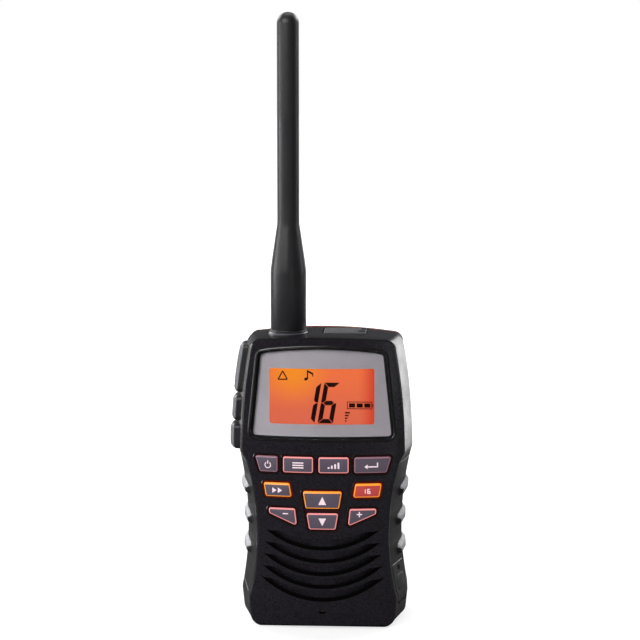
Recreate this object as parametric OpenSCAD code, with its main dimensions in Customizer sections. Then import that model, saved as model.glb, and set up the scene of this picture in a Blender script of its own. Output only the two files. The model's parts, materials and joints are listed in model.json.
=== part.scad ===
// Handheld marine radio: waisted housing in two shells on a floating core,
// gill-type speaker louvres, keypad, side buttons, antenna, belt clip and jack covers.
// Millimetres. X to the right, Y to the back, Z up, origin at the middle of the resting face.

/* [Housing] */
// Height of the housing without its antenna
body_h = 117.7; // [106:0.1:130]
// Heights on the face, the sides and the rear grow with the housing
tall = body_h / 117.7;
// Greatest width, at the shoulders
body_w = 70.6; // [69:0.2:76]
// Depth from the middle of the front to the rear face
body_d = 40; // [39:0.5:46]
// Thickness of the housing walls
wall = 2.2; // [2:0.1:2.6]
// Radius of the crown of the front face
crown_r = 130; // [110:5:200]
// Width of the bevel round the front face
edge_bevel = 1.1; // [0.8:0.1:1.4]
// How far the sides flare outwards behind the front edge, at the shoulders
shoulder_flare = 2.7; // [2:0.1:3.2]
// Radius of the top corners
top_corner_r = 4.5; // [4:0.5:6]
// Radius of the bottom corners
bottom_corner_r = 4; // [3.5:0.5:5]
// Radius of the arch of the top edge at the front
top_arch_r = 300; // [240:10:500]
// Radius of the arch of the top edge at the seam
seam_arch_r = 205; // [180:5:400]

/* [Waist] */
// Height of the shoulders
shoulder_z = 71.2 * tall;
// How far the waist is drawn in from the shoulders
waist_in = 4.2; // [3:0.1:5]
// How far the sides flare outwards at the waist
waist_flare = 4.8; // [4:0.1:5.4]
// How far behind the front edge the sides are widest
flare_d = 16; // [14:0.5:17]
// Height of the narrowest place
waist_z = 38 * tall;
// Radius of the hollow of the front edge
front_hollow_r = 104; // [95:1:130]
// Radius of the hollow of the widest line
side_hollow_r = 135; // [110:1:160]
// Height of the chin below the hollow
chin_z = 11.5 * tall;

/* [Shells] */
// Depth of the rear cover
rear_cover_d = 8; // [7:0.5:10]
// Width of the floating core's band between the shells
core_band = 2; // [1.5:0.1:2.6]
// How far the band lies below the shells
band_in = 0.25; // [0.2:0.05:0.5]
// Radius of the screw bosses
boss_r = 3.4; // [3:0.1:3.6]
// Radius of the case screws
case_screw_r = 1.2; // [1:0.1:1.4]

/* [Display] */
// Height of the window at its middle
window_h = 34.8 * tall;
// Half width of the window at its foot
window_foot_half = 27.2; // [26:0.2:28]
// Half width of the window at its top corners
window_top_half = 24; // [23:0.2:25]
// Radius of the arch of the window's top edge
window_arch_r = 144; // [120:2:200]
// Height of the window's foot
window_z = 77.9 * tall;
// Thickness of the window
window_t = 1.5; // [1.2:0.1:1.6]
// Depth of the window below the front face
window_in = 1; // [0.8:0.1:1.2]
// Width of the slope round the window
window_slope = 1.6; // [1.2:0.1:1.8]
// Width of the screen that shows
screen_w = 41.1; // [38:0.1:42]
// Height of the screen that shows
screen_h = 22.6 * tall;
// Height of the screen's lower edge
screen_z = 82.6 * tall;

/* [Keys] */
// How far the keys stand proud of the face
key_proud = 0.4; // [0.2:0.1:0.8]
// Travel of the keys
key_travel = 0.8; // [0.6:0.1:0.9]
// Gap round each key in its hole
key_gap = 0.3; // [0.2:0.05:0.4]
// Width of the sunk border round each key
key_border = 1.1; // [0.9:0.1:1.3]
// Depth of the sunk border
key_sink = 0.9; // [0.6:0.1:1]
// Corner radius of the keys
key_corner_r = 0.8; // [0.5:0.1:1.2]
// Width of the middle keys of the top row
key_w = 11.9; // [11:0.1:12.2]
// Space between the keys of the top row
key_space = 2.2; // [2:0.1:2.4]
// Top of the top row
row_1_z = 69.9 * tall;
// Height of the top row's keys
row_1_h = 6.4 * tall;
// Top of the second row
row_2_z = 59.2 * tall;
// Height of the second row's keys
row_2_h = 5.6 * tall;
// Top of the volume keys
row_3_z = 49 * tall;
// Height of the volume keys at their inner side
row_3_h = 7.1 * tall;
// Top of the channel keys
channel_z = 56.1 * tall;
// Height of the upper channel key
channel_h = 7 * tall;
// Space between the channel keys
channel_space = 1.9 * tall;

/* [Grille] */
// Number of louvres
louvres = 5; // [3:1:5]
// Distance from louvre to louvre
louvre_pitch = 5.25 * tall;
// Lowest point of the top louvre
louvre_top_z = 32 * tall;
// Radius of the louvres' lower edges
louvre_r = 36; // [32:1:44]
// Depth of the top louvre at its middle; its ends run out on the crown
louvre_depth = 1.86; // [1.75:0.01:1.9]
// How much deeper each louvre is than the one above
louvre_growth = 0.08; // [0.02:0.01:0.08]
// Height of the ramp above each edge
louvre_ramp = 4.4 * tall;
// Wall behind the louvres
louvre_wall = 1.6; // [1.5:0.05:1.7]
// Radius of the speaker
speaker_r = 14.5 * tall;
// Height of the middle of the speaker
speaker_z = 24.5 * tall;
// Height of the microphone hole
mic_z = 6.8 * tall;

/* [Grips and side buttons] */
// Thickness of the rubber grips
grip_t = 1.3; // [1.1:0.1:1.4]
// Height of the ribs on the grips
rib_h = 1.5; // [1:0.1:2]
// Number of ribs on each grip
ribs = 3; // [2:1:3]
// Travel of the side buttons
button_travel = 1; // [0.8:0.1:1.2]
// Length of the talk button
talk_l = 19.7 * tall;
// Length of the two small side buttons
small_button_l = 10.2 * tall;
// Space between the side buttons
button_space = 1.4 * tall;
// Width of the side buttons from front to back
button_w = 11; // [9:0.5:12]
// Gap round each side button
button_gap = 0.3; // [0.2:0.05:0.4]
// How far the talk button stands proud
talk_proud = 2.6; // [2:0.1:3.2]

/* [Antenna] */
// Place of the antenna across the housing
antenna_x = -14.3; // [-16:0.1:-14]
// Place of the antenna from front to back
antenna_y = -4; // [-5:0.1:-3]
// Height of the antenna's tip
antenna_tip_z = 243.8; // [200:0.1:260]
// Radius of the antenna's lower part
antenna_foot_r = 7.1; // [6.6:0.1:7.4]
// Radius of the whip
whip_r = 4.35; // [4.2:0.05:5]
// Radius of the threaded stud
stud_r = 3; // [2.5:0.1:3.2]

/* [Jacks and covers] */
// Length of the top jack cover
top_cover_l = 17; // [16:0.2:17.4]
// Width of the top jack cover
top_cover_w = 13.6; // [12.6:0.2:14]
// Thickness of the top jack cover
top_cover_t = 1.8; // [1.6:0.1:2]
// Radius of the speaker jack's bore
audio_bore_r = 1.8; // [1.75:0.01:1.9]
// Radius of the microphone jack's bore
mic_bore_r = 1.3; // [1.25:0.01:1.4]
// Distance between the two jacks
jack_pitch = 7; // [6.6:0.1:7.4]
// Radius of the charging jack's bore
charge_bore_r = 1.75; // [1.7:0.01:1.9]
// Height of the side jack cover
side_cover_h = 16 * tall;

/* [Battery and belt clip] */
// Width of the battery pack
battery_w = 40; // [38:0.5:41]
// Height of the battery pack
battery_h = 63 * tall;
// Length of the belt clip below its pin
clip_l = 54 * tall;
// Width of the belt clip
clip_w = 19; // [16:0.5:20]
// Radius of the clip's hinge pin
clip_pin_r = 1.25; // [1:0.05:1.4]
// Turns of the clip's spring
spring_turns = 5; // [3:1:6]

/* [Hidden] */

skin = 0.5;
front_y = -body_d / 2;
rear_y = body_d / 2;
crown_y = front_y + crown_r;
crown_fn = 180;
seam_y = rear_y - rear_cover_d - core_band;
rear_seam_y = rear_y - rear_cover_d;
seam_in = 0.3;

// Half widths of the housing
shoulder_half = body_w / 2;
shoulder_front_half = shoulder_half - shoulder_flare;
shoulder_chamfer = 3.7 * tall;
shoulder_low_z = shoulder_z - shoulder_chamfer;
shoulder_front_r = 235;
shoulder_side_r = 215;
waist_half = shoulder_half - waist_in;
waist_front_half = waist_half - waist_flare;
chin_draft = 0.1;
edge_y = front_y + crown_drop(shoulder_front_half) + edge_bevel;
wide_y = edge_y + flare_d;

function lerp(a, b, f) = a + (b - a) * f;
function crown_drop(x) = crown_r - sqrt(crown_r * crown_r - x * x);
function arch_drop(x, r) = r - sqrt(r * r - x * x);
function hollow(z, half, r) = half + r - sqrt(r * r - pow(z - waist_z, 2));
function bulge(z, half, r) = half - r + sqrt(r * r - pow(z - shoulder_z, 2));
function arc(c, r, from, to, steps) =
    [for (k = [0:steps]) let (a = lerp(from, to, k / steps)) c + r * [cos(a), sin(a)]];

// Half width at a height, for the line with this waist, hollow, shoulder and bulge
function line_half(z, waist, hollow_r, shoulder, bulge_r) =
    z < chin_z ? hollow(chin_z, waist, hollow_r) - chin_draft * (chin_z - z)
    : z < shoulder_low_z ? hollow(z, waist, hollow_r)
    : z < shoulder_z ? lerp(hollow(shoulder_low_z, waist, hollow_r), shoulder,
        (z - shoulder_low_z) / shoulder_chamfer)
    : bulge(z, shoulder, bulge_r);
function front_half(z) =
    line_half(z, waist_front_half, front_hollow_r, shoulder_front_half, shoulder_front_r);
function wide_half(z) =
    line_half(z, waist_half, side_hollow_r, shoulder_half, shoulder_side_r);

// How far the flare has gone at a depth, and the housing's half width there
function flare_at(y) = min((y - edge_y) / (wide_y - edge_y), 1);
function half_at(z, y) = lerp(front_half(z), wide_half(z), flare_at(y));
function arch_at(y) = lerp(top_arch_r, seam_arch_r, (y - front_y) / (seam_y - front_y));

// Right half of the housing's outline at a depth, drawn in by inset, from the bottom to the top;
// lift is the height of its foot
corner_steps = 3;
waist_steps = 9;
upper_steps = 5;
arch_steps = 5;
function half_outline(y, inset, lift) =
    let (
        r_low = max(bottom_corner_r - inset, 0.5),
        r_top = max(top_corner_r - inset, 0.5),
        arch = arch_at(y),
        corner_z = body_h - inset
            - arch_drop(half_at(body_h - top_corner_r, y) - inset - r_top, arch),
        bend_z = corner_z - r_top,
        top_x = half_at(bend_z, y) - inset - r_top
    )
    concat(
        [for (k = [0:corner_steps]) let (a = 90 * k / corner_steps, z = lift + r_low * (1 - cos(a)))
            [half_at(z, y) - inset - r_low * (1 - sin(a)), z]],
        [for (k = [0:waist_steps]) let (z = lerp(chin_z, shoulder_low_z, k / waist_steps))
            [half_at(z, y) - inset, z]],
        [for (k = [0:upper_steps]) let (z = lerp(shoulder_z, bend_z, k / upper_steps))
            [half_at(z, y) - inset, z]],
        [for (k = [1:corner_steps]) let (a = 90 * k / corner_steps)
            [top_x + r_top * cos(a), bend_z + r_top * sin(a)]],
        [for (k = [1:arch_steps - 1]) let (x = top_x * (1 - k / arch_steps))
            [x, body_h - inset - arch_drop(x, arch)]]
    );

// A ring of the housing: flat at a depth, or following the crown of the front face
function mirrored(half) =
    concat(half, [for (k = [len(half) - 1:-1:0]) [-half[k][0], half[k][1]]]);
function flat_ring(y, inset, lift) = [for (p = mirrored(half_outline(y, inset, lift))) [p[0], y, p[1]]];
function crown_ring(outline, depth) =
    [for (p = outline) [p[0], front_y + crown_drop(p[0]) + depth, p[1]]];

// A closed skin over rings whose left and right halves mirror each other
module loft(rings) {
    n = len(rings[0]);
    ends = (len(rings) - 1) * n;
    sides = [for (k = [0:len(rings) - 2], i = [0:n - 1])
        let (a = k * n + i, b = k * n + (i + 1) % n)
        each [[a, b, a + n], [b, b + n, a + n]]];
    caps = [for (i = [0:n / 2 - 2])
        each [
            [i, n - 1 - i, n - 2 - i, i + 1],
            [ends + i, ends + i + 1, ends + n - 2 - i, ends + n - 1 - i]
        ]];
    polyhedron([for (ring = rings) each ring], concat(sides, caps));
}

// Everything behind a surface at a depth below the crowned front face
module behind_crown(depth) {
    translate([0, crown_y, -skin]) cylinder(r = crown_r - depth, h = body_h + 2 * skin, $fn = crown_fn);
}

// An outline of X and Z, run from one depth to another
module along_y(from, to) {
    translate([0, to, 0]) rotate([90, 0, 0]) linear_extrude(to - from) children();
}

// An outline of Y and Z, run from one X to another
module along_x(from, to) {
    translate([from, 0, 0]) rotate([90, 0, 90]) linear_extrude(to - from) children();
}

// An outline of X and Z, as a plate between two depths below the crowned front face
module crowned_plate(from, to) {
    difference() {
        intersection() {
            along_y(front_y - 2, front_y + 9) children();
            behind_crown(from);
        }
        behind_crown(to);
    }
}

module rounded(r) {
    offset(r = r, $fn = 16) offset(delta = -r) children();
}

module slab(size, at, r = 1) {
    translate([at[0] - size[0] / 2, at[1], at[2] - size[2] / 2])
        translate([0, size[1], 0]) rotate([90, 0, 0]) linear_extrude(size[1])
            rounded(r) square([size[0], size[2]]);
}

// ---------------------------------------------------------------- housing

// The front body of the housing, drawn in by inset, back to a depth
lead = 4;
module front_body(inset, back) {
    bevel_in = edge_bevel + lead;
    intersection() {
        loft([
            crown_ring(mirrored(half_outline(edge_y, inset + bevel_in, inset + bevel_in)), inset - lead),
            crown_ring(mirrored(half_outline(edge_y, inset, inset)), inset + edge_bevel),
            flat_ring(wide_y, inset, inset),
            flat_ring(back, inset + seam_in, inset)
        ]);
        behind_crown(inset);
    }
}

// The side walls alone, drawn in or out by inset, for grips, ribs and covers
module side_body(inset) {
    loft([
        flat_ring(edge_y - 3, inset, inset),
        flat_ring(wide_y, inset, inset),
        flat_ring(seam_y, inset + seam_in, inset)
    ]);
}

boss_low = [shoulder_half - 10.3, boss_r + 2];
boss_top = [shoulder_half - 13.4, body_h - 9.7];
boss_front_y = front_y + 10;
module boss_places() {
    for (side = [-1, 1], p = [boss_low, boss_top])
        translate([side * p[0], 0, p[1]]) rotate([-90, 0, 0]) children();
}

module shell_bosses() {
    difference() {
        translate([0, boss_front_y, 0]) boss_places() cylinder(r = boss_r, h = seam_y - boss_front_y, $fn = 32);
        translate([0, boss_front_y + 4, 0]) boss_places()
            cylinder(r = case_screw_r + 0.05, h = seam_y - boss_front_y, $fn = 32);
    }
    web_t = 1.6;
    for (side = [-1, 1]) translate([side * boss_top[0] - web_t / 2, boss_front_y, boss_top[1] + boss_r - 0.6])
        cube([web_t, seam_y - lip_l - 0.4 - boss_front_y, body_h - boss_top[1]]);
}

// Outline of the window, grown by a margin
window_corner_r = 1.2;
window_slant = atan2(window_foot_half - window_top_half, window_h);
window_top_z = window_z + window_h;
window_corner_z = window_top_z - arch_drop(window_top_half, window_arch_r);
window_bend = asin((window_top_half - window_corner_r) / window_arch_r);
function window_half(grow) =
    let (
        r = window_corner_r + grow,
        top_c = [window_top_half - window_corner_r, window_corner_z - window_corner_r]
    )
    concat(
        arc([window_foot_half - window_corner_r, window_z + window_corner_r], r, -90, window_slant, 3),
        arc(top_c, r, window_slant, 90 - window_bend, 3),
        [for (k = [1:3]) let (a = 90 - window_bend * (1 - k / 4))
            [0, window_top_z - window_arch_r] + (window_arch_r + grow) * [cos(a), sin(a)]]
    );
module window_shape(grow = 0) {
    polygon(mirrored(window_half(grow)));
}

seal_gap = 0.5;
mask_t = 0.2;
window_seat = window_in + window_t + mask_t;
ledge_t = 1.4;
lcd_margin = 2.2;
lcd_gap = 0.3;
module screen_shape(grow = 0) {
    translate([-screen_w / 2 - grow, screen_z - grow]) square([screen_w + 2 * grow, screen_h + 2 * grow]);
}

module window_pocket() {
    rise = 0.6;
    grow = seal_gap + window_slope * (1 + rise / window_in);
    lead = rise + crown_drop(window_foot_half + grow) + skin;
    difference() {
        loft([
            crown_ring(mirrored(window_half(grow)), -lead),
            crown_ring(mirrored(window_half(grow)), -rise),
            crown_ring(mirrored(window_half(seal_gap)), window_in),
            crown_ring(mirrored(window_half(seal_gap)), window_seat + 2)
        ]);
        behind_crown(window_seat);
    }
    along_y(front_y - 2, front_y + 9) screen_shape(lcd_margin + lcd_gap);
}

// One gill of the grille: a ramp that sinks behind the crown down to a sharp lower edge
module louvre_cut(k) {
    depth = louvre_depth + louvre_growth * k;
    rise = 0.5;
    run = louvre_ramp * (1 + rise / depth);
    translate([0, front_y, louvre_top_z + louvre_r - louvre_pitch * k]) rotate([90, 0, 0])
        rotate_extrude(angle = 90, start = -135, $fn = 96)
            polygon([[louvre_r - run, rise], [louvre_r, rise], [louvre_r, -depth]]);
}

module speaker_shape(r) {
    translate([0, speaker_z]) circle(r, $fn = 48);
}

mic_hole_r = 0.6;
module mic_hole() {
    along_y(front_y - 1, front_y + wall + 1) {
        translate([-mic_hole_r, mic_z - mic_hole_r]) square([2 * mic_hole_r, 2 * mic_hole_r]);
        for (side = [-1, 1]) translate([side * mic_hole_r, mic_z]) circle(mic_hole_r, $fn = 24);
    }
}

// ---------------------------------------------------------------- keys

row_slant = 2;
enter_top_w = 14.7;
power_top_w = 9.1;
memory_x = -15.6;
output_x = memory_x + key_w + key_space;
enter_x = output_x + key_w + key_space;
power_x = memory_x - key_space;
pair_inner_x = 13.1;
pair_w = 10.4;
pair_slant = 0.95;
volume_inner_x = 10.9;
volume_w = 10.5;
volume_outer_h = 2.3 * tall;
channel_half = 7.8;
channel_taper = 0.165;
down_h = 6.6 * tall;
row_1_low = row_1_z - row_1_h;
row_2_low = row_2_z - row_2_h;
down_z = channel_z - channel_h - channel_space;
function channel_half_at(z) = channel_half - channel_taper * (channel_z - z);

// Outline of a key on the right; the outline is mirrored for its twin on the left
pair_key = [
    [pair_inner_x, row_2_z], [pair_inner_x + pair_w, row_2_z],
    [pair_inner_x + pair_w - pair_slant, row_2_low], [pair_inner_x - pair_slant, row_2_low]
];
volume_key = [
    [volume_inner_x, row_3_z], [volume_inner_x + volume_w, row_3_z],
    [volume_inner_x + volume_w - 0.2, row_3_z - volume_outer_h],
    [volume_inner_x - 0.8, row_3_z - row_3_h]
];
function flipped(outline) = [for (p = outline) [-p[0], p[1]]];
function upright(x, w, slant_left, slant_right) = [
    [x, row_1_z], [x + w, row_1_z], [x + w - slant_right, row_1_low], [x + slant_left, row_1_low]
];
function channel_key(top, low) = [
    [-channel_half_at(top), top], [channel_half_at(top), top],
    [channel_half_at(low), low], [-channel_half_at(low), low]
];
key_outlines = [
    ["key_power", upright(power_x - power_top_w, power_top_w, row_slant, 0)],
    ["key_memory", upright(memory_x, key_w, 0, 0)],
    ["key_output", upright(output_x, key_w, 0, 0)],
    ["key_enter", upright(enter_x, enter_top_w, 0, row_slant)],
    ["key_scan", flipped(pair_key)],
    ["key_sixteen", pair_key],
    ["key_up", channel_key(channel_z, channel_z - channel_h)],
    ["key_down", channel_key(down_z, down_z - down_h)],
    ["key_volume_down", flipped(volume_key)],
    ["key_volume_up", volume_key]
];
function key_outline(name) = key_outlines[search([name], key_outlines)[0]][1];
module key_shape(outline, grow = 0) {
    offset(delta = grow) rounded(key_corner_r) polygon(outline);
}

// Depths behind the front face: keys and display stand before the board
key_play = 0.2;
key_flange = 0.6;
key_flange_t = 0.8;
stack_d = 4.4;
mat_t = 1;
board_t = 1.6;
mat_y = front_y + wall + stack_d;
board_y = mat_y + mat_t;
board_back_y = board_y + board_t;
plunger_y = mat_y - key_travel - 0.15;
module key(name) {
    outline = key_outline(name);
    flange_in = wall + key_play;
    crowned_plate(-key_proud, flange_in + key_flange_t) key_shape(outline);
    crowned_plate(flange_in, flange_in + key_flange_t) key_shape(outline, key_flange);
    along_y(front_y + 3, plunger_y) key_shape(outline, -1.4);
}

module key_holes() {
    crowned_plate(-2, key_sink) for (k = key_outlines) key_shape(k[1], key_border);
    along_y(front_y - 2, front_y + 9) for (k = key_outlines) key_shape(k[1], key_gap);
}

module keypad_mat() {
    color("#d7b9b4") {
        slab([2 * board_half + 3, mat_t, window_z - lcd_margin - row_3_z + row_3_h - 3],
            [0, mat_y, (window_z - lcd_margin + row_3_z - row_3_h) / 2 - 0.5], 2);
    }
}

bay_wall = 1.6;
battery_z = 14.5 * tall;
board_half = shoulder_half - 13.3;
board_low_z = speaker_z + speaker_r + 1.5;
board_top_z = body_h - 5.7;
module main_board() {
    color("#1f6b3a")
        slab([2 * board_half, board_t, board_top_z - board_low_z],
            [0, board_y, (board_top_z + board_low_z) / 2], 1.5);
}

shield_d = 3;
shield_z = [battery_z + battery_h + bay_wall + 4.9, board_top_z - 2];
module rf_shield() {
    color("#b9bcc0")
        slab([2 * board_half - 10, shield_d, shield_z[1] - shield_z[0]],
            [0, board_back_y, (shield_z[0] + shield_z[1]) / 2], 0.8);
}

// ---------------------------------------------------------------- display

module display_window() {
    color("#9fa3a8", 0.4) crowned_plate(window_in, window_in + window_t) window_shape();
}

module display_mask() {
    color("#a6a6aa") crowned_plate(window_in + window_t, window_seat) difference() {
        window_shape();
        screen_shape();
    }
}

module display_seal() {
    clearance = 0.05;
    color("#0b0b0c") crowned_plate(window_in + 0.2, window_seat - clearance) difference() {
        window_shape(seal_gap - clearance);
        window_shape(clearance);
    }
}

lcd_t = 1.6;
module lcd_panel() {
    color("#e8744a") along_y(mat_y - lcd_t, mat_y) screen_shape(lcd_margin);
}

module backlight() {
    color("#f2d9b0") along_y(mat_y, board_y) screen_shape(lcd_margin - 0.4);
}

// ---------------------------------------------------------------- grips

grip_front_y = edge_y + 0.3;
grip_back_y = seam_y - 1.4;
grip_low_z = chin_z + 0.6;
grip_top_z = shoulder_low_z - 0.9;
grip_rise = 4.5;
grip_clearance = 0.05;
module grip_shape(grow = 0) {
    offset(delta = grow) rounded(3) polygon([
        [grip_front_y, grip_low_z], [grip_back_y, grip_low_z + grip_rise],
        [grip_back_y, grip_top_z], [grip_front_y, grip_top_z]
    ]);
}

// Ribs lean forwards as they go down
rib_w = 4.6 * tall;
rib_pitch = 12.1 * tall;
rib_top_z = 54.6 * tall;
rib_lean = 0.35;
rib_front_y = grip_front_y + 9.3;
rib_back_y = grip_back_y - 3;
module rib_shape(k) {
    z = rib_top_z - rib_pitch * k;
    drop = rib_lean * (rib_back_y - rib_front_y) / 2;
    rounded(1.2) polygon([
        [rib_front_y, z - drop - rib_w / 2], [rib_back_y, z + drop - rib_w / 2],
        [rib_back_y, z + drop + rib_w / 2], [rib_front_y, z - drop + rib_w / 2]
    ]);
}

module grip() {
    difference() {
        union() {
            intersection() {
                side_body(0);
                along_x(15, 45) grip_shape();
            }
            intersection() {
                side_body(-rib_h);
                along_x(15, 45) for (k = [0:ribs - 1]) rib_shape(k);
            }
        }
        side_body(grip_t);
    }
}

module grip_recess() {
    difference() {
        along_x(15, 45) grip_shape(grip_clearance);
        side_body(grip_t + grip_clearance);
    }
}

module grip_left() {
    color("#141416") mirror([1, 0, 0]) grip();
}

module grip_right() {
    color("#141416") difference() {
        grip();
        along_x(15, 45) side_cover_shape(side_cover_z, cover_gap);
    }
}

// ---------------------------------------------------------------- side buttons

button_y = 1.5;
button_flange = 1;
button_lip = 0.45;
button_flange_t = 1.2;
button_play = 0.2;
talk_top_z = body_h - 5.5;
talk_z = [talk_top_z - talk_l, talk_top_z];
upper_z = [talk_z[0] - button_space - small_button_l, talk_z[0] - button_space];
lower_z = [upper_z[0] - button_space - small_button_l, upper_z[0] - button_space];
upper_proud = talk_proud;
lower_proud = talk_proud + 0.4;
switch_t = 1.2;
switch_board_x = -board_half - 1.2;
button_stop_x = switch_board_x - switch_t - button_travel - 0.2;

// Inner face of the side wall where the buttons' flanges lie
function inner_half(z) = half_at(z, button_y - button_w / 2 - button_flange) - wall - button_play;

module side_button(z, proud) {
    low = z[0];
    top = z[1];
    flange_low = low - button_lip;
    flange_top = min(top + button_lip, body_h - wall - top_corner_r);
    mid = (low + top) / 2;
    slope = 1.6;
    back = button_y + button_w / 2;
    intersection() {
        along_y(back - button_w, back) polygon([
            [-inner_half(low) + button_flange_t, low], [-wide_half(low) - 0.3, low],
            [-wide_half(low + slope) - proud, low + slope], [-wide_half(mid) - proud - 0.2, mid],
            [-wide_half(top - 1) - proud, top - 1], [-wide_half(top) - proud + 1.2, top],
            [-inner_half(top) + button_flange_t, top]
        ]);
        plan_rounding(back, wide_half(mid) + proud + 0.2);
    }
    along_y(back - button_w - button_flange, back + button_flange) polygon([
        [-inner_half(flange_low), flange_low], [-inner_half(mid), mid],
        [-inner_half(flange_top), flange_top], [-inner_half(flange_top) + button_flange_t, flange_top],
        [-inner_half(mid) + button_flange_t, mid], [-inner_half(flange_low) + button_flange_t, flange_low]
    ]);
    translate([button_stop_x, button_y, mid]) rotate([0, -90, 0])
        cylinder(r = 1.6, h = inner_half(mid) + button_stop_x - button_flange_t / 2, $fn = 32);
}

// Plan of a side button: its outer edges are rounded off
module plan_rounding(back, reach) {
    translate([0, 0, -1]) linear_extrude(body_h + 2) polygon([
        [0, back - button_w], [-reach + 1.9, back - button_w], [-reach + 0.6, back - button_w + 1.1],
        [-reach - 0.1, back - button_w + 3], [-reach - 0.1, back - 3], [-reach + 0.6, back - 1.1],
        [-reach + 1.9, back], [0, back]
    ]);
}

module side_button_hole(z) {
    back = button_y + button_w / 2;
    along_x(-45, -27.2) translate([back - button_w - button_gap, z[0] - button_gap])
        square([button_w + 2 * button_gap, z[1] - z[0] + 2 * button_gap]);
}

module side_switch_board() {
    color("#1f6b3a") {
        along_x(switch_board_x, -board_half) translate([board_y, lower_z[0]])
            square([button_y + button_w / 2 - board_y, boss_top[1] - boss_r - 0.3 - lower_z[0]]);
        for (z = [talk_z, upper_z, lower_z])
            translate([switch_board_x - switch_t, button_y - 2, (z[0] + z[1]) / 2 - 2])
                cube([switch_t, 4, 4]);
    }
}

// ---------------------------------------------------------------- speaker and microphone

speaker_front_y = front_y + 3.4;
bay_front_y = front_y + 10.4;
module speaker() {
    color("#3a3a3c") translate([0, 0, speaker_z]) rotate([-90, 0, 0]) {
        translate([0, 0, speaker_front_y]) cylinder(r = speaker_r, h = 2, $fn = 48);
        translate([0, 0, speaker_front_y + 2]) cylinder(r1 = speaker_r, r2 = 9, h = 1.6, $fn = 48);
        translate([0, 0, speaker_front_y + 3.6])
            cylinder(r = 9, h = bay_front_y - speaker_front_y - 3.8, $fn = 48);
    }
}

cloth_t = 0.2;
module speaker_cloth() {
    color("#101011") crowned_plate(louvre_wall, louvre_wall + cloth_t) speaker_shape(speaker_r);
}

module speaker_gasket() {
    color("#2a2a2c") intersection() {
        along_y(front_y, speaker_front_y) difference() {
            speaker_shape(speaker_r);
            speaker_shape(speaker_r - 2.4);
        }
        behind_crown(louvre_wall + cloth_t);
    }
}

mic_r = 2.2;
module microphone() {
    color("#8d8f93") translate([0, front_y + wall + 0.1, mic_z]) rotate([-90, 0, 0])
        cylinder(r = mic_r, h = 2.6, $fn = 32);
}

// ---------------------------------------------------------------- antenna

seat_r = 8;
seat_low_z = body_h - 1.7;
seat_top_z = body_h + 0.1;
collar_h = 0.9;
taper_z = [142.6, 161];
stud_low_z = body_h - 11;
stud_top_z = body_h + 12;
thread_clearance = 0.05;
module antenna_whip() {
    foot = seat_top_z;
    color("#1a1a1c") translate([antenna_x, antenna_y, 0]) difference() {
        rotate_extrude($fn = 48) polygon(concat(
            [[0, foot], [antenna_foot_r + 0.3, foot], [antenna_foot_r + 0.3, foot + collar_h - 0.3],
            [antenna_foot_r - 0.25, foot + collar_h - 0.3], [antenna_foot_r - 0.25, foot + collar_h],
            [antenna_foot_r, foot + collar_h], [antenna_foot_r, taper_z[0]], [whip_r, taper_z[1]]],
            [for (k = [0:6]) let (a = 15 * k)
                [whip_r * cos(a), antenna_tip_z - whip_r + whip_r * sin(a)]]
        ));
        translate([0, 0, foot - 1])
            cylinder(r = stud_r + thread_clearance, h = stud_top_z - foot + 2, $fn = 32);
    }
}

module antenna_seat() {
    color("#77787c") translate([antenna_x, antenna_y, 0]) difference() {
        union() {
            translate([0, 0, seat_low_z]) cylinder(r = seat_r, h = 1, $fn = 48);
            translate([0, 0, seat_low_z + 1])
                cylinder(r1 = seat_r, r2 = antenna_foot_r + 0.3, h = seat_top_z - seat_low_z - 1, $fn = 48);
        }
        translate([0, 0, seat_low_z - 1]) cylinder(r = stud_r + thread_clearance, h = 4, $fn = 32);
    }
}

module antenna_stud() {
    color("#c8a24a") translate([antenna_x, antenna_y, stud_low_z])
        cylinder(r = stud_r, h = stud_top_z - stud_low_z, $fn = 32);
}

ceiling_t = wall + 1.2;
nut_h = 2.4;
module antenna_nut() {
    color("#b9bcc0") translate([antenna_x, antenna_y, pad_low_z - nut_h]) rotate([0, 0, 30]) difference() {
        cylinder(r = 5.2, h = nut_h, $fn = 6);
        translate([0, 0, -1]) cylinder(r = stud_r + thread_clearance, h = nut_h + 2, $fn = 32);
    }
}

// ---------------------------------------------------------------- jacks and covers

cover_gap = 0.3;
top_cover_x = [-0.4, -0.4 + top_cover_l];
top_cover_y = [-8.6, -8.6 + top_cover_w];
top_cover_z = body_h + 0.1;
top_floor_z = top_cover_z - top_cover_t - 0.3;
jack_x = [top_cover_x[0] + 5, top_cover_x[0] + 5 + jack_pitch];
jack_y = (top_cover_y[0] + top_cover_y[1]) / 2;
jack_nose_r = 2.5;
jack_top_z = top_floor_z - 0.1;
pad_low_z = body_h - ceiling_t - 1.3;

module top_cover_shape(grow = 0) {
    translate([top_cover_x[0] - grow, top_cover_y[0] - grow])
        square([top_cover_l + 2 * grow, top_cover_w + 2 * grow]);
}

// The cover turns up about the rounded edge on its left
module top_jack_cover() {
    tab_l = 3;
    knuckle_r = top_cover_t / 2;
    color("#5b5c60") {
        difference() {
            translate([top_cover_x[0] + knuckle_r, top_cover_y[0], top_cover_z - top_cover_t])
                cube([top_cover_l - knuckle_r, top_cover_w, top_cover_t]);
            translate([top_cover_x[1] - tab_l - 1, jack_y - 2.6, top_cover_z - 0.7]) cube([1, 5.2, 2]);
        }
        for (y = [jack_y - 3.4, jack_y + 2.4])
            translate([top_cover_x[1] - tab_l, y, top_cover_z - 0.2]) cube([tab_l, 1, 0.8]);
        translate([top_cover_x[0] + knuckle_r, top_cover_y[0], top_cover_z - knuckle_r]) rotate([-90, 0, 0])
            cylinder(r = knuckle_r, h = top_cover_w, $fn = 32);
    }
}

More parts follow.
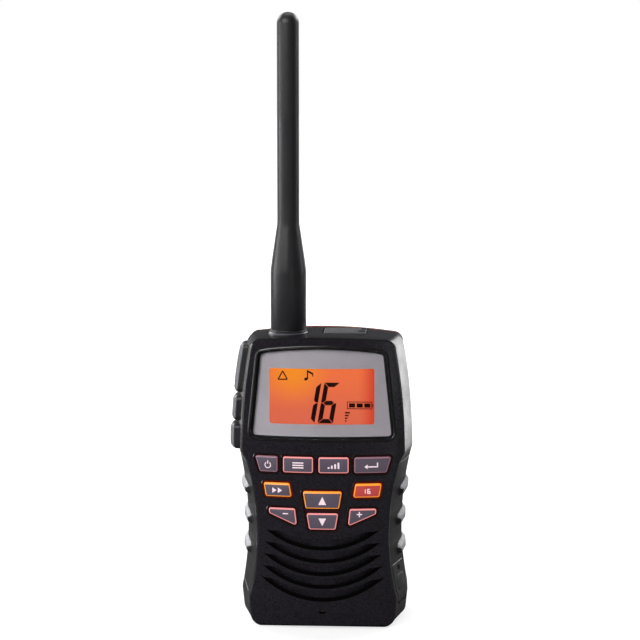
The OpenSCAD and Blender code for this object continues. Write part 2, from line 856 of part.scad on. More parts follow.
module top_pocket() {
    translate([0, 0, top_floor_z]) linear_extrude(10) top_cover_shape(cover_gap);
    for (x = jack_x) translate([x, jack_y, pad_low_z - 1])
        cylinder(r = jack_nose_r + 0.1, h = ceiling_t + 4, $fn = 32);
}

module top_pad() {
    translate([0, 0, pad_low_z]) linear_extrude(body_h - 1.5 - pad_low_z) top_cover_shape(1.6);
    translate([antenna_x, antenna_y, pad_low_z]) cylinder(r = seat_r + 0.6, h = body_h - 1.5 - pad_low_z, $fn = 48);
}

jack_body_l = 9.5;
module audio_jack() {
    bores = [audio_bore_r, mic_bore_r];
    color("#26262a") difference() {
        union() {
            translate([top_cover_x[0] + 1, jack_y - 4, pad_low_z - jack_body_l])
                cube([top_cover_l - 2, 8, jack_body_l]);
            for (x = jack_x) translate([x, jack_y, pad_low_z - 1])
                cylinder(r = jack_nose_r, h = jack_top_z - pad_low_z + 1, $fn = 32);
        }
        for (k = [0, 1]) translate([jack_x[k], jack_y, pad_low_z - jack_body_l + 1.5])
            cylinder(r = bores[k], h = jack_body_l + 10, $fn = 48);
    }
}

// The side cover lies in the flared face of the right side and turns out about its foot
side_cover_z = 8.4 * tall;
side_cover_y = [grip_front_y + 1.3, wide_y - 0.6];
side_cover_t = 1.05;
side_cover_proud = 0.15;
flare_angle = atan2(wide_half(side_cover_z) - front_half(side_cover_z), wide_y - edge_y);
side_cover_mid = [half_at(side_cover_z, (side_cover_y[0] + side_cover_y[1]) / 2),
    (side_cover_y[0] + side_cover_y[1]) / 2];
hinge_r = 0.6;
side_hinge = side_cover_mid - (side_cover_t / 2) * [cos(flare_angle), -sin(flare_angle)];
side_hinge_z = side_cover_z + hinge_r;
module side_cover_shape(low, grow = 0) {
    translate([side_cover_y[0] - grow, low - grow]) rounded(1) square([
        side_cover_y[1] - side_cover_y[0] + 2 * grow,
        side_cover_z + side_cover_h - low + 2 * grow
    ]);
}

module side_hinge_bead(r, l) {
    translate([side_hinge[0], side_hinge[1], side_hinge_z]) rotate([-90, 0, 0]) rotate([0, flare_angle, 0])
        translate([0, 0, -l / 2]) cylinder(r = r, h = l, $fn = 24);
}

module side_jack_cover() {
    tab_z = side_cover_z + side_cover_h - 4;
    color("#1d1d1f") {
        difference() {
            intersection() {
                side_body(-side_cover_proud);
                along_x(20, 45) side_cover_shape(side_hinge_z);
            }
            side_body(side_cover_t);
            translate([side_cover_mid[0], side_cover_mid[1], tab_z + 1.4]) rotate([0, 90, -flare_angle])
                translate([0, 0, -0.9]) cylinder(r = 1.5, h = 6, $fn = 32);
        }
        side_hinge_bead(hinge_r, side_cover_y[1] - side_cover_y[0] - 2);
    }
}

module side_pocket() {
    difference() {
        along_x(15, 45) side_cover_shape(side_cover_z, cover_gap);
        side_body(grip_t + grip_clearance);
    }
    side_hinge_bead(hinge_r + cover_gap, side_cover_y[1] - side_cover_y[0]);
}

// Charging jack, square to the flared face behind its cover
charge_z = side_cover_z + 7.4;
charge_nose_r = 3;
charge_l = 6.8;
charge_out = half_at(charge_z, side_cover_mid[1]) - grip_t - 0.5;
module charge_place() {
    translate([charge_out, side_cover_mid[1], charge_z]) rotate([0, 90, -flare_angle]) children();
}

module charge_jack() {
    color("#26262a") charge_place() difference() {
        union() {
            translate([-4, -3.6, -charge_l + 1]) cube([8, 7.2, charge_l - 3.2]);
            translate([0, 0, -charge_l + 1.2]) cylinder(r = charge_nose_r, h = charge_l - 1.2, $fn = 48);
        }
        translate([0, 0, -charge_l + 1.8]) cylinder(r = charge_bore_r, h = charge_l, $fn = 48);
    }
}

// ---------------------------------------------------------------- front shell

module front_shell() {
    color("#1c1c1f") difference() {
        union() {
            difference() {
                front_body(0, seam_y);
                front_cavity();
            }
            intersection() {
                crowned_plate(wall - 0.4, window_seat + ledge_t) window_shape(2.6);
                front_body(1, seam_y);
            }
            intersection() {
                union() {
                    shell_bosses();
                    top_pad();
                }
                front_body(0.4, seam_y);
            }
        }
        window_pocket();
        key_holes();
        for (k = [0:louvres - 1]) louvre_cut(k);
        crowned_plate(louvre_wall, wall + 2) speaker_shape(speaker_r + 0.4);
        mic_hole();
        grip_recess();
        mirror([1, 0, 0]) grip_recess();
        side_pocket();
        charge_place() translate([0, 0, -6]) cylinder(r = charge_nose_r + 0.1, h = 12, $fn = 48);
        for (z = [talk_z, upper_z, lower_z]) side_button_hole(z);
        top_pocket();
        translate([antenna_x, antenna_y, seat_low_z]) cylinder(r = seat_r + 0.05, h = 10, $fn = 48);
        translate([antenna_x, antenna_y, body_h - 12]) cylinder(r = stud_r + 0.1, h = 20, $fn = 32);
    }
}

module front_cavity() {
    intersection() {
        loft([
            flat_ring(front_y - 1, wall, wall),
            flat_ring(wide_y, wall, wall),
            flat_ring(seam_y + 1, wall + seam_in, wall)
        ]);
        behind_crown(wall);
    }
}

// ---------------------------------------------------------------- floating core

bay_gap = 0.3;
battery_front_y = bay_front_y + bay_wall;
battery_back_y = rear_y - 2.8;
bay_size = [battery_w + 2 * bay_gap, battery_h + 2 * bay_gap];
bay_mid_z = battery_z + battery_h / 2;
lip_gap = 0.15;
lip_t = 1.2;
lip_l = 2;

module bay_shape(grow = 0) {
    translate([-bay_size[0] / 2 - grow, bay_mid_z - bay_size[1] / 2 - grow])
        square([bay_size[0] + 2 * grow, bay_size[1] + 2 * grow]);
}

module straight_loft(from, to, inset) {
    loft([flat_ring(from, inset, inset), flat_ring(to, inset, inset)]);
}

module floating_core() {
    lip_in = wall + seam_in + lip_gap;
    standoff_x = bay_size[0] / 2 - 2;
    color("#e2631e") difference() {
        union() {
            straight_loft(seam_y, rear_seam_y, seam_in + band_in);
            difference() {
                straight_loft(seam_y - lip_l, seam_y + 0.5, lip_in);
                straight_loft(seam_y - lip_l - 1, seam_y + 1, lip_in + lip_t);
                translate([0, seam_y - lip_l - 1, 0]) boss_places() cylinder(r = boss_r + 0.2, h = 3.2, $fn = 32);
            }
            along_y(bay_front_y, seam_y + 0.5) bay_shape(bay_wall);
            for (side = [-1, 1], z = [board_low_z + 4, bay_mid_z + bay_size[1] / 2 - 3])
                translate([side * standoff_x, board_back_y, z]) rotate([-90, 0, 0])
                    cylinder(r = 1.5, h = bay_front_y - board_back_y + 0.5, $fn = 24);
        }
        along_y(battery_front_y, rear_y) bay_shape();
        translate([0, seam_y - 1, 0]) boss_places() cylinder(r = case_screw_r + 0.3, h = core_band + 2, $fn = 32);
    }
}

// ---------------------------------------------------------------- rear cover

// Rounding of the rear cover: part of its depth, inset of the sides, lift of the foot
rear_round = [[0, 0.3, 0], [0.5, 0.9, 0], [0.83, 2, 0.5], [1, 3.6, 2]];
cover_t = 1.8;
gasket_t = 0.6;
cover_margin = [2.7, 5.7];
cover_gap_r = 0.2;
cover_in_y = rear_y - cover_t - gasket_t;

module rear_body() {
    loft([for (p = rear_round) flat_ring(rear_seam_y + p[0] * rear_cover_d, p[1], p[2])]);
}

module cover_shape(grow = 0) {
    translate([-bay_size[0] / 2 - cover_margin[0] - grow, bay_mid_z - bay_size[1] / 2 - cover_margin[1] - grow])
        rounded(3) square([bay_size[0] + 2 * (cover_margin[0] + grow), bay_size[1] + 2 * (cover_margin[1] + grow)]);
}

battery_screw_z = [bay_mid_z - bay_size[1] / 2 - 3, bay_mid_z + bay_size[1] / 2 + 3];
module battery_screw_places() {
    for (z = battery_screw_z) translate([0, 0, z]) rotate([-90, 0, 0]) children();
}

module rear_cover() {
    rear_wall = 2.4;
    color("#18181a") difference() {
        union() {
            difference() {
                rear_body();
                loft([
                    flat_ring(rear_seam_y - 1, wall + seam_in, wall),
                    flat_ring(rear_y - rear_wall, wall + 1.6, wall + 1)
                ]);
            }
            along_y(rear_seam_y, rear_y - 1) cover_shape(1.5);
            translate([0, rear_seam_y, 0]) boss_places()
                cylinder(r = boss_r - 0.4, h = rear_cover_d - 1.6, $fn = 32);
        }
        along_y(rear_seam_y - 1, rear_y + 1) bay_shape();
        along_y(cover_in_y, rear_y + 1) cover_shape();
        translate([0, rear_seam_y + 1, 0]) battery_screw_places()
            cylinder(r = battery_screw_r + 0.05, h = rear_cover_d, $fn = 32);
        translate([0, rear_seam_y - 1, 0]) boss_places()
            cylinder(r = case_screw_r + 0.1, h = rear_cover_d + 4, $fn = 32);
        translate([0, rear_y - 3, 0]) boss_places() cylinder(r = case_head_r + 0.2, h = 4, $fn = 32);
        for (x = clip_screw_x) translate([x, rear_y - rear_wall - 1, clip_screw_z]) rotate([-90, 0, 0])
            cylinder(r = clip_screw_r + 0.05, h = rear_wall + 2, $fn = 32);
    }
}

case_head_r = 2;
module case_screws() {
    shank_l = rear_y - 3 - boss_front_y - 6;
    color("#6f7276") translate([0, rear_y - 3, 0]) boss_places() {
        difference() {
            cylinder(r = case_head_r, h = 1.2, $fn = 32);
            translate([0, 0, 0.5]) cylinder(r = 0.9, h = 2, $fn = 6);
        }
        translate([0, 0, -shank_l]) cylinder(r = case_screw_r, h = shank_l, $fn = 32);
    }
}

module battery_pack() {
    color("#3f6fb0")
        slab([battery_w, battery_back_y - battery_front_y - 0.2, battery_h],
            [0, battery_front_y + 0.2, bay_mid_z], 3);
}

battery_screw_r = 1.1;
battery_head_r = 2.2;
module battery_cover() {
    color("#1b1b1d") difference() {
        along_y(rear_y - cover_t, rear_y) cover_shape(-cover_gap_r);
        translate([0, rear_y - cover_t - 1, 0]) battery_screw_places()
            cylinder(r = battery_screw_r + 0.2, h = cover_t + 2, $fn = 32);
        translate([0, rear_y - 1, 0]) battery_screw_places() cylinder(r = battery_head_r + 0.15, h = 2, $fn = 32);
        for (k = [0:5]) translate([-8, rear_y - 0.5, battery_screw_z[0] + 8 + 1.8 * k]) cube([16, 1, 0.8]);
    }
}

module battery_gasket() {
    color("#c2551c") along_y(cover_in_y, rear_y - cover_t) difference() {
        cover_shape(-0.6);
        bay_shape(0.4);
        for (z = battery_screw_z) translate([0, z]) circle(battery_screw_r + 0.3, $fn = 32);
    }
}

module battery_screws() {
    color("#8b8e92") translate([0, rear_y - 1, 0]) battery_screw_places() {
        difference() {
            cylinder(r = battery_head_r, h = 0.9, $fn = 32);
            translate([-battery_head_r - 1, -0.3, 0.45]) cube([2 * battery_head_r + 2, 0.6, 1]);
        }
        translate([0, 0, -5]) cylinder(r = battery_screw_r, h = 5, $fn = 32);
    }
}

// ---------------------------------------------------------------- belt clip

clip_base_z = [battery_screw_z[1] + 3.6, body_h - 7];
clip_base_w = clip_w + 7;
clip_plate_t = 2.2;
ear_t = 2.6;
ear_gap = 0.3;
pin_z = clip_base_z[0] + 13;
barrel_r = 3.4;
pin_y = rear_y + clip_plate_t + barrel_r + 0.4;
clip_t = 2.2;
clip_screw_r = 1.25;
clip_screw_x = [-5, 5];
clip_screw_z = clip_base_z[0] + 3.4;
ear_x = clip_w / 2 + ear_gap;

module clip_base() {
    color("#161618") difference() {
        union() {
            along_y(rear_y, rear_y + clip_plate_t) translate([-clip_base_w / 2, clip_base_z[0]]) rounded(2)
                square([clip_base_w, clip_base_z[1] - clip_base_z[0]]);
            for (side = [-1, 1]) translate([side * (ear_x + ear_t / 2) - ear_t / 2, 0, 0]) ear();
        }
        for (x = clip_screw_x) translate([x, rear_y - 1, clip_screw_z]) rotate([-90, 0, 0])
            cylinder(r = clip_screw_r + 0.1, h = 5, $fn = 32);
        translate([-clip_base_w, pin_y, pin_z]) rotate([0, 90, 0])
            cylinder(r = clip_pin_r + 0.02, h = 2 * clip_base_w, $fn = 32);
    }
}

module ear() {
    along_x(0, ear_t) difference() {
        union() {
            translate([rear_y, pin_z - 5.5]) square([pin_y - rear_y, 9]);
            translate([pin_y, pin_z]) circle(3.2, $fn = 32);
        }
        translate([rear_y, pin_z + 3.2]) square([12, 8]);
        translate([rear_y + clip_plate_t, pin_z - 5.6]) polygon([[0, 0], [9, 0], [9, 5.6]]);
    }
}

// Side view of the clip: thumb pad above the barrel, tongue and hooked toe below
pad_h = 13;
toe_z = pin_z - clip_l;
module clip_side() {
    out = pin_y + barrel_r - clip_t + 0.1;
    polygon([
        [out + 1.2, pin_z + pad_h], [out + 3.4, pin_z + pad_h - 0.4], [out + clip_t + 0.2, pin_z + 3],
        [out + clip_t, pin_z], [out + clip_t, toe_z + 6], [out + clip_t - 0.6, toe_z + 2],
        [out - 0.4, toe_z], [rear_y + 2.4, toe_z + 0.6], [rear_y + 0.5, toe_z + 3.4],
        [rear_y + 0.5, toe_z + 4.4], [rear_y + 2.4, toe_z + 5.4], [out, toe_z + 9], [out, pin_z]
    ]);
}

module belt_clip() {
    core_half = 4.6;
    bore_r = clip_pin_r + 0.06;
    color("#1a1a1c") difference() {
        union() {
            intersection() {
                along_x(-clip_w / 2, clip_w / 2) clip_side();
                along_y(rear_y - 5, rear_y + 20) rounded(2) polygon([
                    [-clip_w / 2, pin_z + pad_h + 1], [clip_w / 2, pin_z + pad_h + 1], [clip_w / 2, pin_z - 10],
                    [clip_w / 2 - 2, toe_z - 0.5], [-clip_w / 2 + 2, toe_z - 0.5], [-clip_w / 2, pin_z - 10]
                ]);
            }
            for (side = [-1, 1]) translate([side * (core_half + clip_w / 2) / 2, pin_y, pin_z]) rotate([0, 90, 0])
                cylinder(r = barrel_r, h = clip_w / 2 - core_half, center = true, $fn = 32);
        }
        translate([-clip_w, pin_y, pin_z]) rotate([0, 90, 0]) cylinder(r = bore_r, h = 2 * clip_w, $fn = 32);
        translate([-core_half, pin_y - 4, pin_z - 3.2])
            cube([2 * core_half, 4 + coil_r + wire_r + 0.35, 2 * 3.2]);
        for (k = [0:4]) translate([-clip_w, pin_y + barrel_r + 2.6, pin_z + 5.4 + 1.5 * k]) rotate([0, 90, 0])
            cylinder(r = 0.9, h = 2 * clip_w, $fn = 16);
    }
}

module clip_pin() {
    half = ear_x + ear_t;
    color("#c4c6c9") translate([-half, pin_y, pin_z]) rotate([0, 90, 0]) {
        cylinder(r = clip_pin_r, h = 2 * half, $fn = 32);
    }
}

module clip_screws() {
    color("#8b8e92") for (x = clip_screw_x) translate([x, rear_y + clip_plate_t, clip_screw_z]) rotate([-90, 0, 0]) {
        cylinder(r = 2.2, h = 1, $fn = 32);
        translate([0, 0, -4.4]) cylinder(r = clip_screw_r, h = 4.4, $fn = 32);
    }
}

// One unbroken wire round the pin: one leg stands on the base, the other behind the thumb pad
wire_r = 0.35;
coil_r = clip_pin_r + 0.3 + wire_r;
coil_half = 3.6;
coil_legs = [[0, 0, 2.8], [0, -0.6, 2.5]];
coil_rings = 8;
coil_sides = 6;
coil_steps = (spring_turns + 0.5) * coil_rings;
function coil_out(k) = let (a = 180 + 360 * k / coil_rings) [0, cos(a), sin(a)];
function coil_point(k) =
    [lerp(-coil_half, coil_half, k / coil_steps), pin_y, pin_z] + coil_r * coil_out(k);
function wire_ring(k, leg = [0, 0, 0]) =
    [for (i = [0:coil_sides - 1]) let (b = 360 * i / coil_sides)
        coil_point(k) + leg + wire_r * (cos(b) * coil_out(k) + sin(b) * [1, 0, 0])];
coil_gap = min([for (k = [0:coil_steps - coil_rings])
    norm(coil_point(k + coil_rings) - coil_point(k)) - 2 * wire_r]);
echo(coil_gap = coil_gap);
module clip_spring() {
    n = coil_steps + 2;
    m = coil_sides;
    rings = [wire_ring(0, coil_legs[0]), for (k = [0:coil_steps]) wire_ring(k), wire_ring(coil_steps, coil_legs[1])];
    sides = [for (k = [0:n - 1], i = [0:m - 1]) let (a = k * m + i, b = k * m + (i + 1) % m)
        each [[a, b, a + m], [b, b + m, a + m]]];
    caps = [[for (i = [m - 1:-1:0]) i], [for (i = [0:m - 1]) n * m + i]];
    color("#b9bcc0") polyhedron([for (ring = rings) each ring], concat(sides, caps));
}

front_shell();
floating_core();
rear_cover();
grip_left();
grip_right();
case_screws();
display_window();
display_mask();
display_seal();
lcd_panel();
backlight();
color("#58525a") key("key_power");  // key_power
color("#58525a") key("key_memory");  // key_memory
color("#58525a") key("key_output");  // key_output
color("#58525a") key("key_enter");  // key_enter
color("#e79a3a") key("key_scan");  // key_scan
color("#c24a4a") key("key_sixteen");  // key_sixteen
color("#e79a3a") key("key_up");  // key_up
color("#58525a") key("key_down");  // key_down
color("#58525a") key("key_volume_down");  // key_volume_down
color("#58525a") key("key_volume_up");  // key_volume_up
keypad_mat();
main_board();
rf_shield();
color("#4a4b4f") side_button(talk_z, talk_proud);  // talk_button
color("#3c3d41") side_button(upper_z, upper_proud);  // side_button_upper
color("#3c3d41") side_button(lower_z, lower_proud);  // side_button_lower
side_switch_board();
speaker();
speaker_gasket();
speaker_cloth();
microphone();
antenna_whip();
antenna_seat();
antenna_stud();
antenna_nut();
top_jack_cover();
audio_jack();
side_jack_cover();
charge_jack();
battery_pack();
battery_cover();
battery_gasket();
battery_screws();
clip_base();
clip_screws();
belt_clip();
clip_pin();
clip_spring();
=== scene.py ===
"""Handheld marine radio: its dressed pieces, their finishes, the studio and the camera.

Sizes are in millimetres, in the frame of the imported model: X to the right, Y to the back, Z up, with the
origin in the middle of the resting face. Each mesh is scaled to metres when it is published.
"""

from __future__ import annotations

import json
import logging
import math
from abc import ABC, abstractmethod
from dataclasses import dataclass, field
from enum import Enum, IntEnum
from typing import Any, Callable, Iterable, Sequence

import bmesh
import bpy
from bmesh.types import BMEdge, BMesh, BMFace, BMVert
from bpy.types import ID, Material, Node, NodeSocket, NodeTree, Object
from mathutils import Matrix, Vector

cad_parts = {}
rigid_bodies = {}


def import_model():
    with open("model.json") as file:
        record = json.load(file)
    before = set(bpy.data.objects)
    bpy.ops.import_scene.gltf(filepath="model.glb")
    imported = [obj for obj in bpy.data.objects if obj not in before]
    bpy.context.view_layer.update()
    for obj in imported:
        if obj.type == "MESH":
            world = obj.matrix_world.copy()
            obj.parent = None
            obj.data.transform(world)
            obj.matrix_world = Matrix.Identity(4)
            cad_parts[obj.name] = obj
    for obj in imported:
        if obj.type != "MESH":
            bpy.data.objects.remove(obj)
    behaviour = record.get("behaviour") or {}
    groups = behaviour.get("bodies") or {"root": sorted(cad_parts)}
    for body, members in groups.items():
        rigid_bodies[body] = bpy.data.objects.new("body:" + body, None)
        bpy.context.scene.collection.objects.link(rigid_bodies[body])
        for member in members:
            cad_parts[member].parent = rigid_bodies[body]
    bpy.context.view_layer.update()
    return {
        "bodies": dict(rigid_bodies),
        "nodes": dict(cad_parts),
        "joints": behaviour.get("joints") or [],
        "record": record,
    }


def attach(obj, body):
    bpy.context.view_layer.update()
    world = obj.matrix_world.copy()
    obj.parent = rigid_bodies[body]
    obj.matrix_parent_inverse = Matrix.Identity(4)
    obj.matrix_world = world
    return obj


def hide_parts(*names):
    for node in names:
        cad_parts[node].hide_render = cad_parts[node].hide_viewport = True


LOG = logging.getLogger("radio")
MM = 0.001
HOUSING_BODY = "housing"
Point = tuple[float, float]
Outline = list[Point]
Colour = tuple[float, float, float]
Tags = Sequence[int] | int
DUST_COLOUR: Colour = (168, 164, 158)
WHITE = (1.0, 1.0, 1.0, 1.0)
X, Y, Z = Vector((1.0, 0.0, 0.0)), Vector((0.0, 1.0, 0.0)), Vector((0.0, 0.0, 1.0))


# ---- outlines


def drop(x: float, radius: float) -> float:
    """Returns how far an arc of this radius has fallen at a distance x from its top."""
    return radius - math.sqrt(radius * radius - x * x)


def rectangle(low: Point, high: Point) -> Outline:
    """Returns the four corners between two opposite ones, counterclockwise."""
    return [low, (high[0], low[1]), high, (low[0], high[1])]


def flipped(outline: Outline) -> Outline:
    """Returns the mirror image across U = 0, still counterclockwise."""
    return [(-u, v) for u, v in reversed(outline)]


def plate(low: Point, high: Point, radius: float, step: float, steps: int = 4) -> Outline:
    """Returns a rectangle with rounded corners and its sides split into lengths of about step."""
    return resampled(rounded(rectangle(low, high), radius, steps), step)


def disc(centre: Point, radius: float, count: int = 48) -> Outline:
    """Returns a circle as an outline of count points."""
    turns = [2 * math.pi * k / count for k in range(count)]
    return [(centre[0] + radius * math.cos(a), centre[1] + radius * math.sin(a)) for a in turns]


def arc(centre: Point, radius: float, start: float, end: float, steps: int) -> Outline:
    """Returns the points of an arc between two angles in degrees."""
    turns = [math.radians(start + (end - start) * k / steps) for k in range(steps + 1)]
    return [(centre[0] + radius * math.cos(a), centre[1] + radius * math.sin(a)) for a in turns]


def rounded(outline: Outline, radius: float, steps: int = 4) -> Outline:
    """Rounds the corners of an outline.

    Args:
        outline: Corners, counterclockwise.
        radius: Radius of the rounding, made smaller where a side is too short for it.
        steps: Number of chords in each corner.

    Returns:
        The rounded outline.
    """
    made: Outline = []
    for k, corner in enumerate(outline):
        here = Vector(corner)
        to_last = Vector(outline[k - 1]) - here
        to_next = Vector(outline[(k + 1) % len(outline)]) - here
        half = to_last.angle(to_next) / 2
        reach = min(radius / math.tan(half), 0.49 * min(to_last.length, to_next.length))
        real = reach * math.tan(half)
        centre = here + (to_last.normalized() + to_next.normalized()).normalized() * (real / math.sin(half))
        start = here + to_last.normalized() * reach - centre
        end = here + to_next.normalized() * reach - centre
        first = math.atan2(start.y, start.x)
        sweep = (math.atan2(end.y, end.x) - first + math.pi) % (2 * math.pi) - math.pi
        for j in range(steps + 1):
            turn = first + sweep * j / steps
            made.append((centre.x + real * math.cos(turn), centre.y + real * math.sin(turn)))
    return made


def resampled(outline: Outline, step: float) -> Outline:
    """Returns the outline with its long sides split into lengths of about step."""
    made: Outline = []
    for k, (u, v) in enumerate(outline):
        end = outline[(k + 1) % len(outline)]
        count = max(1, math.ceil(math.dist((u, v), end) / step))
        made += [(u + (end[0] - u) * j / count, v + (end[1] - v) * j / count) for j in range(count)]
    return made


def offset(outline: Outline, grow: float) -> Outline:
    """Returns the counterclockwise outline moved outwards by grow, with mitred corners."""
    made: Outline = []
    for k, (u, v) in enumerate(outline):
        before = Vector((u, v)) - Vector(outline[k - 1])
        after = Vector(outline[(k + 1) % len(outline)]) - Vector((u, v))
        first = Vector((before.y, -before.x)).normalized()
        second = Vector((after.y, -after.x)).normalized()
        mitre = (first + second) / max(1 + first.dot(second), 0.3)
        made.append((u + grow * mitre.x, v + grow * mitre.y))
    return made


def digit(low: Point, size: Point, stroke: float, gap: float, lean: float, lit: str) -> list[Outline]:
    """Draws a seven-segment digit.

    Args:
        low: Its lower left corner.
        size: Its width and height.
        stroke: Width of its segments.
        gap: Half the gap between two segments.
        lean: How far it leans to the right for each unit of height.
        lit: Letters of its lit segments, a to g in the usual order.

    Returns:
        An outline for each lit segment.
    """
    left, foot, t, g = low[0], low[1], stroke, gap
    right, top, mid = left + size[0], foot + size[1], foot + size[1] / 2
    shapes = {
        "a": [(left + g, top), (left + t + g, top - t), (right - t - g, top - t), (right - g, top)],
        "d": [(left + g, foot), (right - g, foot), (right - t - g, foot + t), (left + t + g, foot + t)],
        "g": [(left + t * 0.5 + g, mid), (left + t + g, mid - t / 2), (right - t - g, mid - t / 2),
              (right - t * 0.5 - g, mid), (right - t - g, mid + t / 2), (left + t + g, mid + t / 2)],
        "f": [(left, top - g), (left, mid + g), (left + t * 0.5, mid + g), (left + t, mid + t / 2 + g),
              (left + t, top - t - g)],
        "e": [(left, mid - g), (left, foot + g), (left + t, foot + t + g), (left + t, mid - t / 2 - g),
              (left + t * 0.5, mid - g)],
        "b": [(right, top - g), (right - t, top - t - g), (right - t, mid + t / 2 + g),
              (right - t * 0.5, mid + g), (right, mid + g)],
        "c": [(right, mid - g), (right - t * 0.5, mid - g), (right - t, mid - t / 2 - g),
              (right - t, foot + t + g), (right, foot + g)],
    }
    return [[(u + lean * (v - foot), v) for u, v in shapes[letter]] for letter in lit]


# ---- form of the housing


@dataclass(frozen=True)
class HousingForm:
    """Outer form of the housing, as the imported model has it."""

    height: float = 117.7
    half_width: float = 35.3
    depth: float = 40.0
    wall: float = 2.2
    crown_radius: float = 130.0
    bevel: float = 1.1
    shoulder_flare: float = 2.7
    top_corner: float = 4.5
    foot_corner: float = 4.0
    front_arch: float = 300.0
    seam_arch: float = 205.0
    shoulder_z: float = 71.2
    shoulder_chamfer: float = 3.7
    waist_in: float = 4.2
    waist_flare: float = 4.8
    flare_depth: float = 16.0
    waist_z: float = 38.0
    front_hollow: float = 104.0
    side_hollow: float = 135.0
    front_bulge: float = 235.0
    side_bulge: float = 215.0
    chin_z: float = 11.5
    chin_draft: float = 0.1
    seam_inset: float = 0.3
    rear_depth: float = 8.0
    band_width: float = 2.0
    blend: float = 0.5
    boss_low: Point = (25.0, 5.4)
    boss_top: Point = (21.9, 108.0)

    @property
    def bosses(self) -> list[Point]:
        """Places of the four screws that hold the shells together, by X and Z."""
        return [(side * x, z) for side in (-1, 1) for x, z in (self.boss_low, self.boss_top)]

    @property
    def front_y(self) -> float:
        """Depth of the middle of the front face."""
        return -self.depth / 2

    @property
    def rear_y(self) -> float:
        """Depth of the rear face."""
        return self.depth / 2

    @property
    def rear_seam_y(self) -> float:
        """Depth at which the rear cover starts."""
        return self.rear_y - self.rear_depth

    @property
    def seam_y(self) -> float:
        """Depth at which the front shell ends."""
        return self.rear_seam_y - self.band_width

    @property
    def edge_y(self) -> float:
        """Depth at which the bevel of the front face meets the side."""
        return self.front_y + drop(self.half_width - self.shoulder_flare, self.crown_radius) + self.bevel

    @property
    def wide_y(self) -> float:
        """Depth at which the sides are widest."""
        return self.edge_y + self.flare_depth

    def _line(self, z: float, waist: float, hollow: float, shoulder: float, bulge: float) -> float:
        """Returns the half width at a height for one of the two lines that shape the sides."""

        def hollow_at(height: float) -> float:
            """Returns the half width of the hollow below the shoulders."""
            return waist + drop(height - self.waist_z, hollow)

        low = self.shoulder_z - self.shoulder_chamfer
        if z < self.chin_z:
            return hollow_at(self.chin_z) - self.chin_draft * (self.chin_z - z)
        if z < low:
            return hollow_at(z)
        if z < self.shoulder_z:
            return hollow_at(low) + (shoulder - hollow_at(low)) * (z - low) / self.shoulder_chamfer
        return shoulder - drop(z - self.shoulder_z, bulge)

    def half_at(self, z: float, y: float) -> float:
        """Returns the housing's half width at a height and a depth, with its corners softened a little."""
        share = min((y - self.edge_y) / self.flare_depth, 1.0)
        wide_waist = self.half_width - self.waist_in
        total = 0.0
        for step, weight in ((-self.blend, 0.25), (0.0, 0.5), (self.blend, 0.25)):
            front = self._line(z + step, wide_waist - self.waist_flare, self.front_hollow,
                               self.half_width - self.shoulder_flare, self.front_bulge)
            wide = self._line(z + step, wide_waist, self.side_hollow, self.half_width, self.side_bulge)
            total += weight * (front + (wide - front) * share)
        return total

    def arch_at(self, y: float) -> float:
        """Returns the radius of the arch of the top at a depth."""
        return self.front_arch + (self.seam_arch - self.front_arch) * (y - self.front_y) / (
            self.seam_y - self.front_y)

    def outline(self, y: float, inset: float, lift: float) -> Outline:
        """Draws the housing's outline at a depth.

        Args:
            y: Depth.
            inset: How far the outline is drawn in.
            lift: Height of its foot.

        Returns:
            Points of X and Z, counterclockwise, the same number at every depth.
        """
        low, top = (max(corner - inset, 0.5) for corner in (self.foot_corner, self.top_corner))
        arch, chin, shoulder = self.arch_at(y), self.chin_z, self.shoulder_z
        bend = self.height - inset - drop(
            self.half_at(self.height - self.top_corner, y) - inset - top, arch) - top
        top_x = self.half_at(bend, y) - inset - top
        turns = [math.pi / 2 * k / 8 for k in range(9)]
        half: Outline = []
        for turn in turns:
            z = lift + low * (1 - math.cos(turn))
            half.append((self.half_at(z, y) - inset - low * (1 - math.sin(turn)), z))
        below = shoulder - self.shoulder_chamfer
        heights = [chin - 0.5, chin + 0.5]
        heights += [chin + (below - 1 - chin) * k / 20 for k in range(1, 21)]
        heights += [below - 0.5, below, below + 0.5, below + 1.2, shoulder - 1.2, shoulder - 0.5, shoulder,
                    shoulder + 0.5]
        heights += [shoulder + 1 + (bend - shoulder - 1) * k / 14 for k in range(15)]
        half += [(self.half_at(z, y) - inset, z) for z in heights]
        half += [(top_x + top * math.cos(turn), bend + top * math.sin(turn)) for turn in turns[1:]]
        places = [top_x * (1 - k / 14) for k in range(1, 14)]
        half += [(x, self.height - inset - drop(x, arch)) for x in places]
        return half + [(-x, z) for x, z in reversed(half)]

    def crown_ring(self, inset: float, depth: float) -> list[Vector]:
        """Returns a ring of the housing that follows the crowned face at a depth below it."""
        return [Vector((x, self.front_y + drop(x, self.crown_radius) + depth, z))
                for x, z in self.outline(self.edge_y, inset, inset)]

    def flat_ring(self, y: float, inset: float, lift: float) -> list[Vector]:
        """Returns a ring of the housing in one plane."""
        return [Vector((x, y, z)) for x, z in self.outline(y, inset, lift)]


FORM = HousingForm()


class Face(ABC):
    """A face that pads and cuts follow, with two coordinates along it and a lift outwards."""

    @abstractmethod
    def place(self, u: float, v: float, lift: float) -> Vector:
        """Returns the point at two coordinates and a lift."""

    @abstractmethod
    def read(self, at: Vector) -> Point:
        """Returns the two coordinates of a point on the face."""

    def bends(self) -> list[tuple[int, float]]:
        """Returns the axis and the place of each plane at which the face bends."""
        return []


class CrownFace(Face):
    """The crowned front face, by X and Z."""

    def place(self, u: float, v: float, lift: float) -> Vector:
        """Returns the point at X, Z and a lift."""
        return Vector((u, FORM.front_y + drop(u, FORM.crown_radius) - lift, v))

    def read(self, at: Vector) -> Point:
        """Returns X and Z."""
        return at.x, at.z

    def bends(self) -> list[tuple[int, float]]:
        """Returns planes across X."""
        return [(0, -33.3 + 1.85 * k) for k in range(37)]


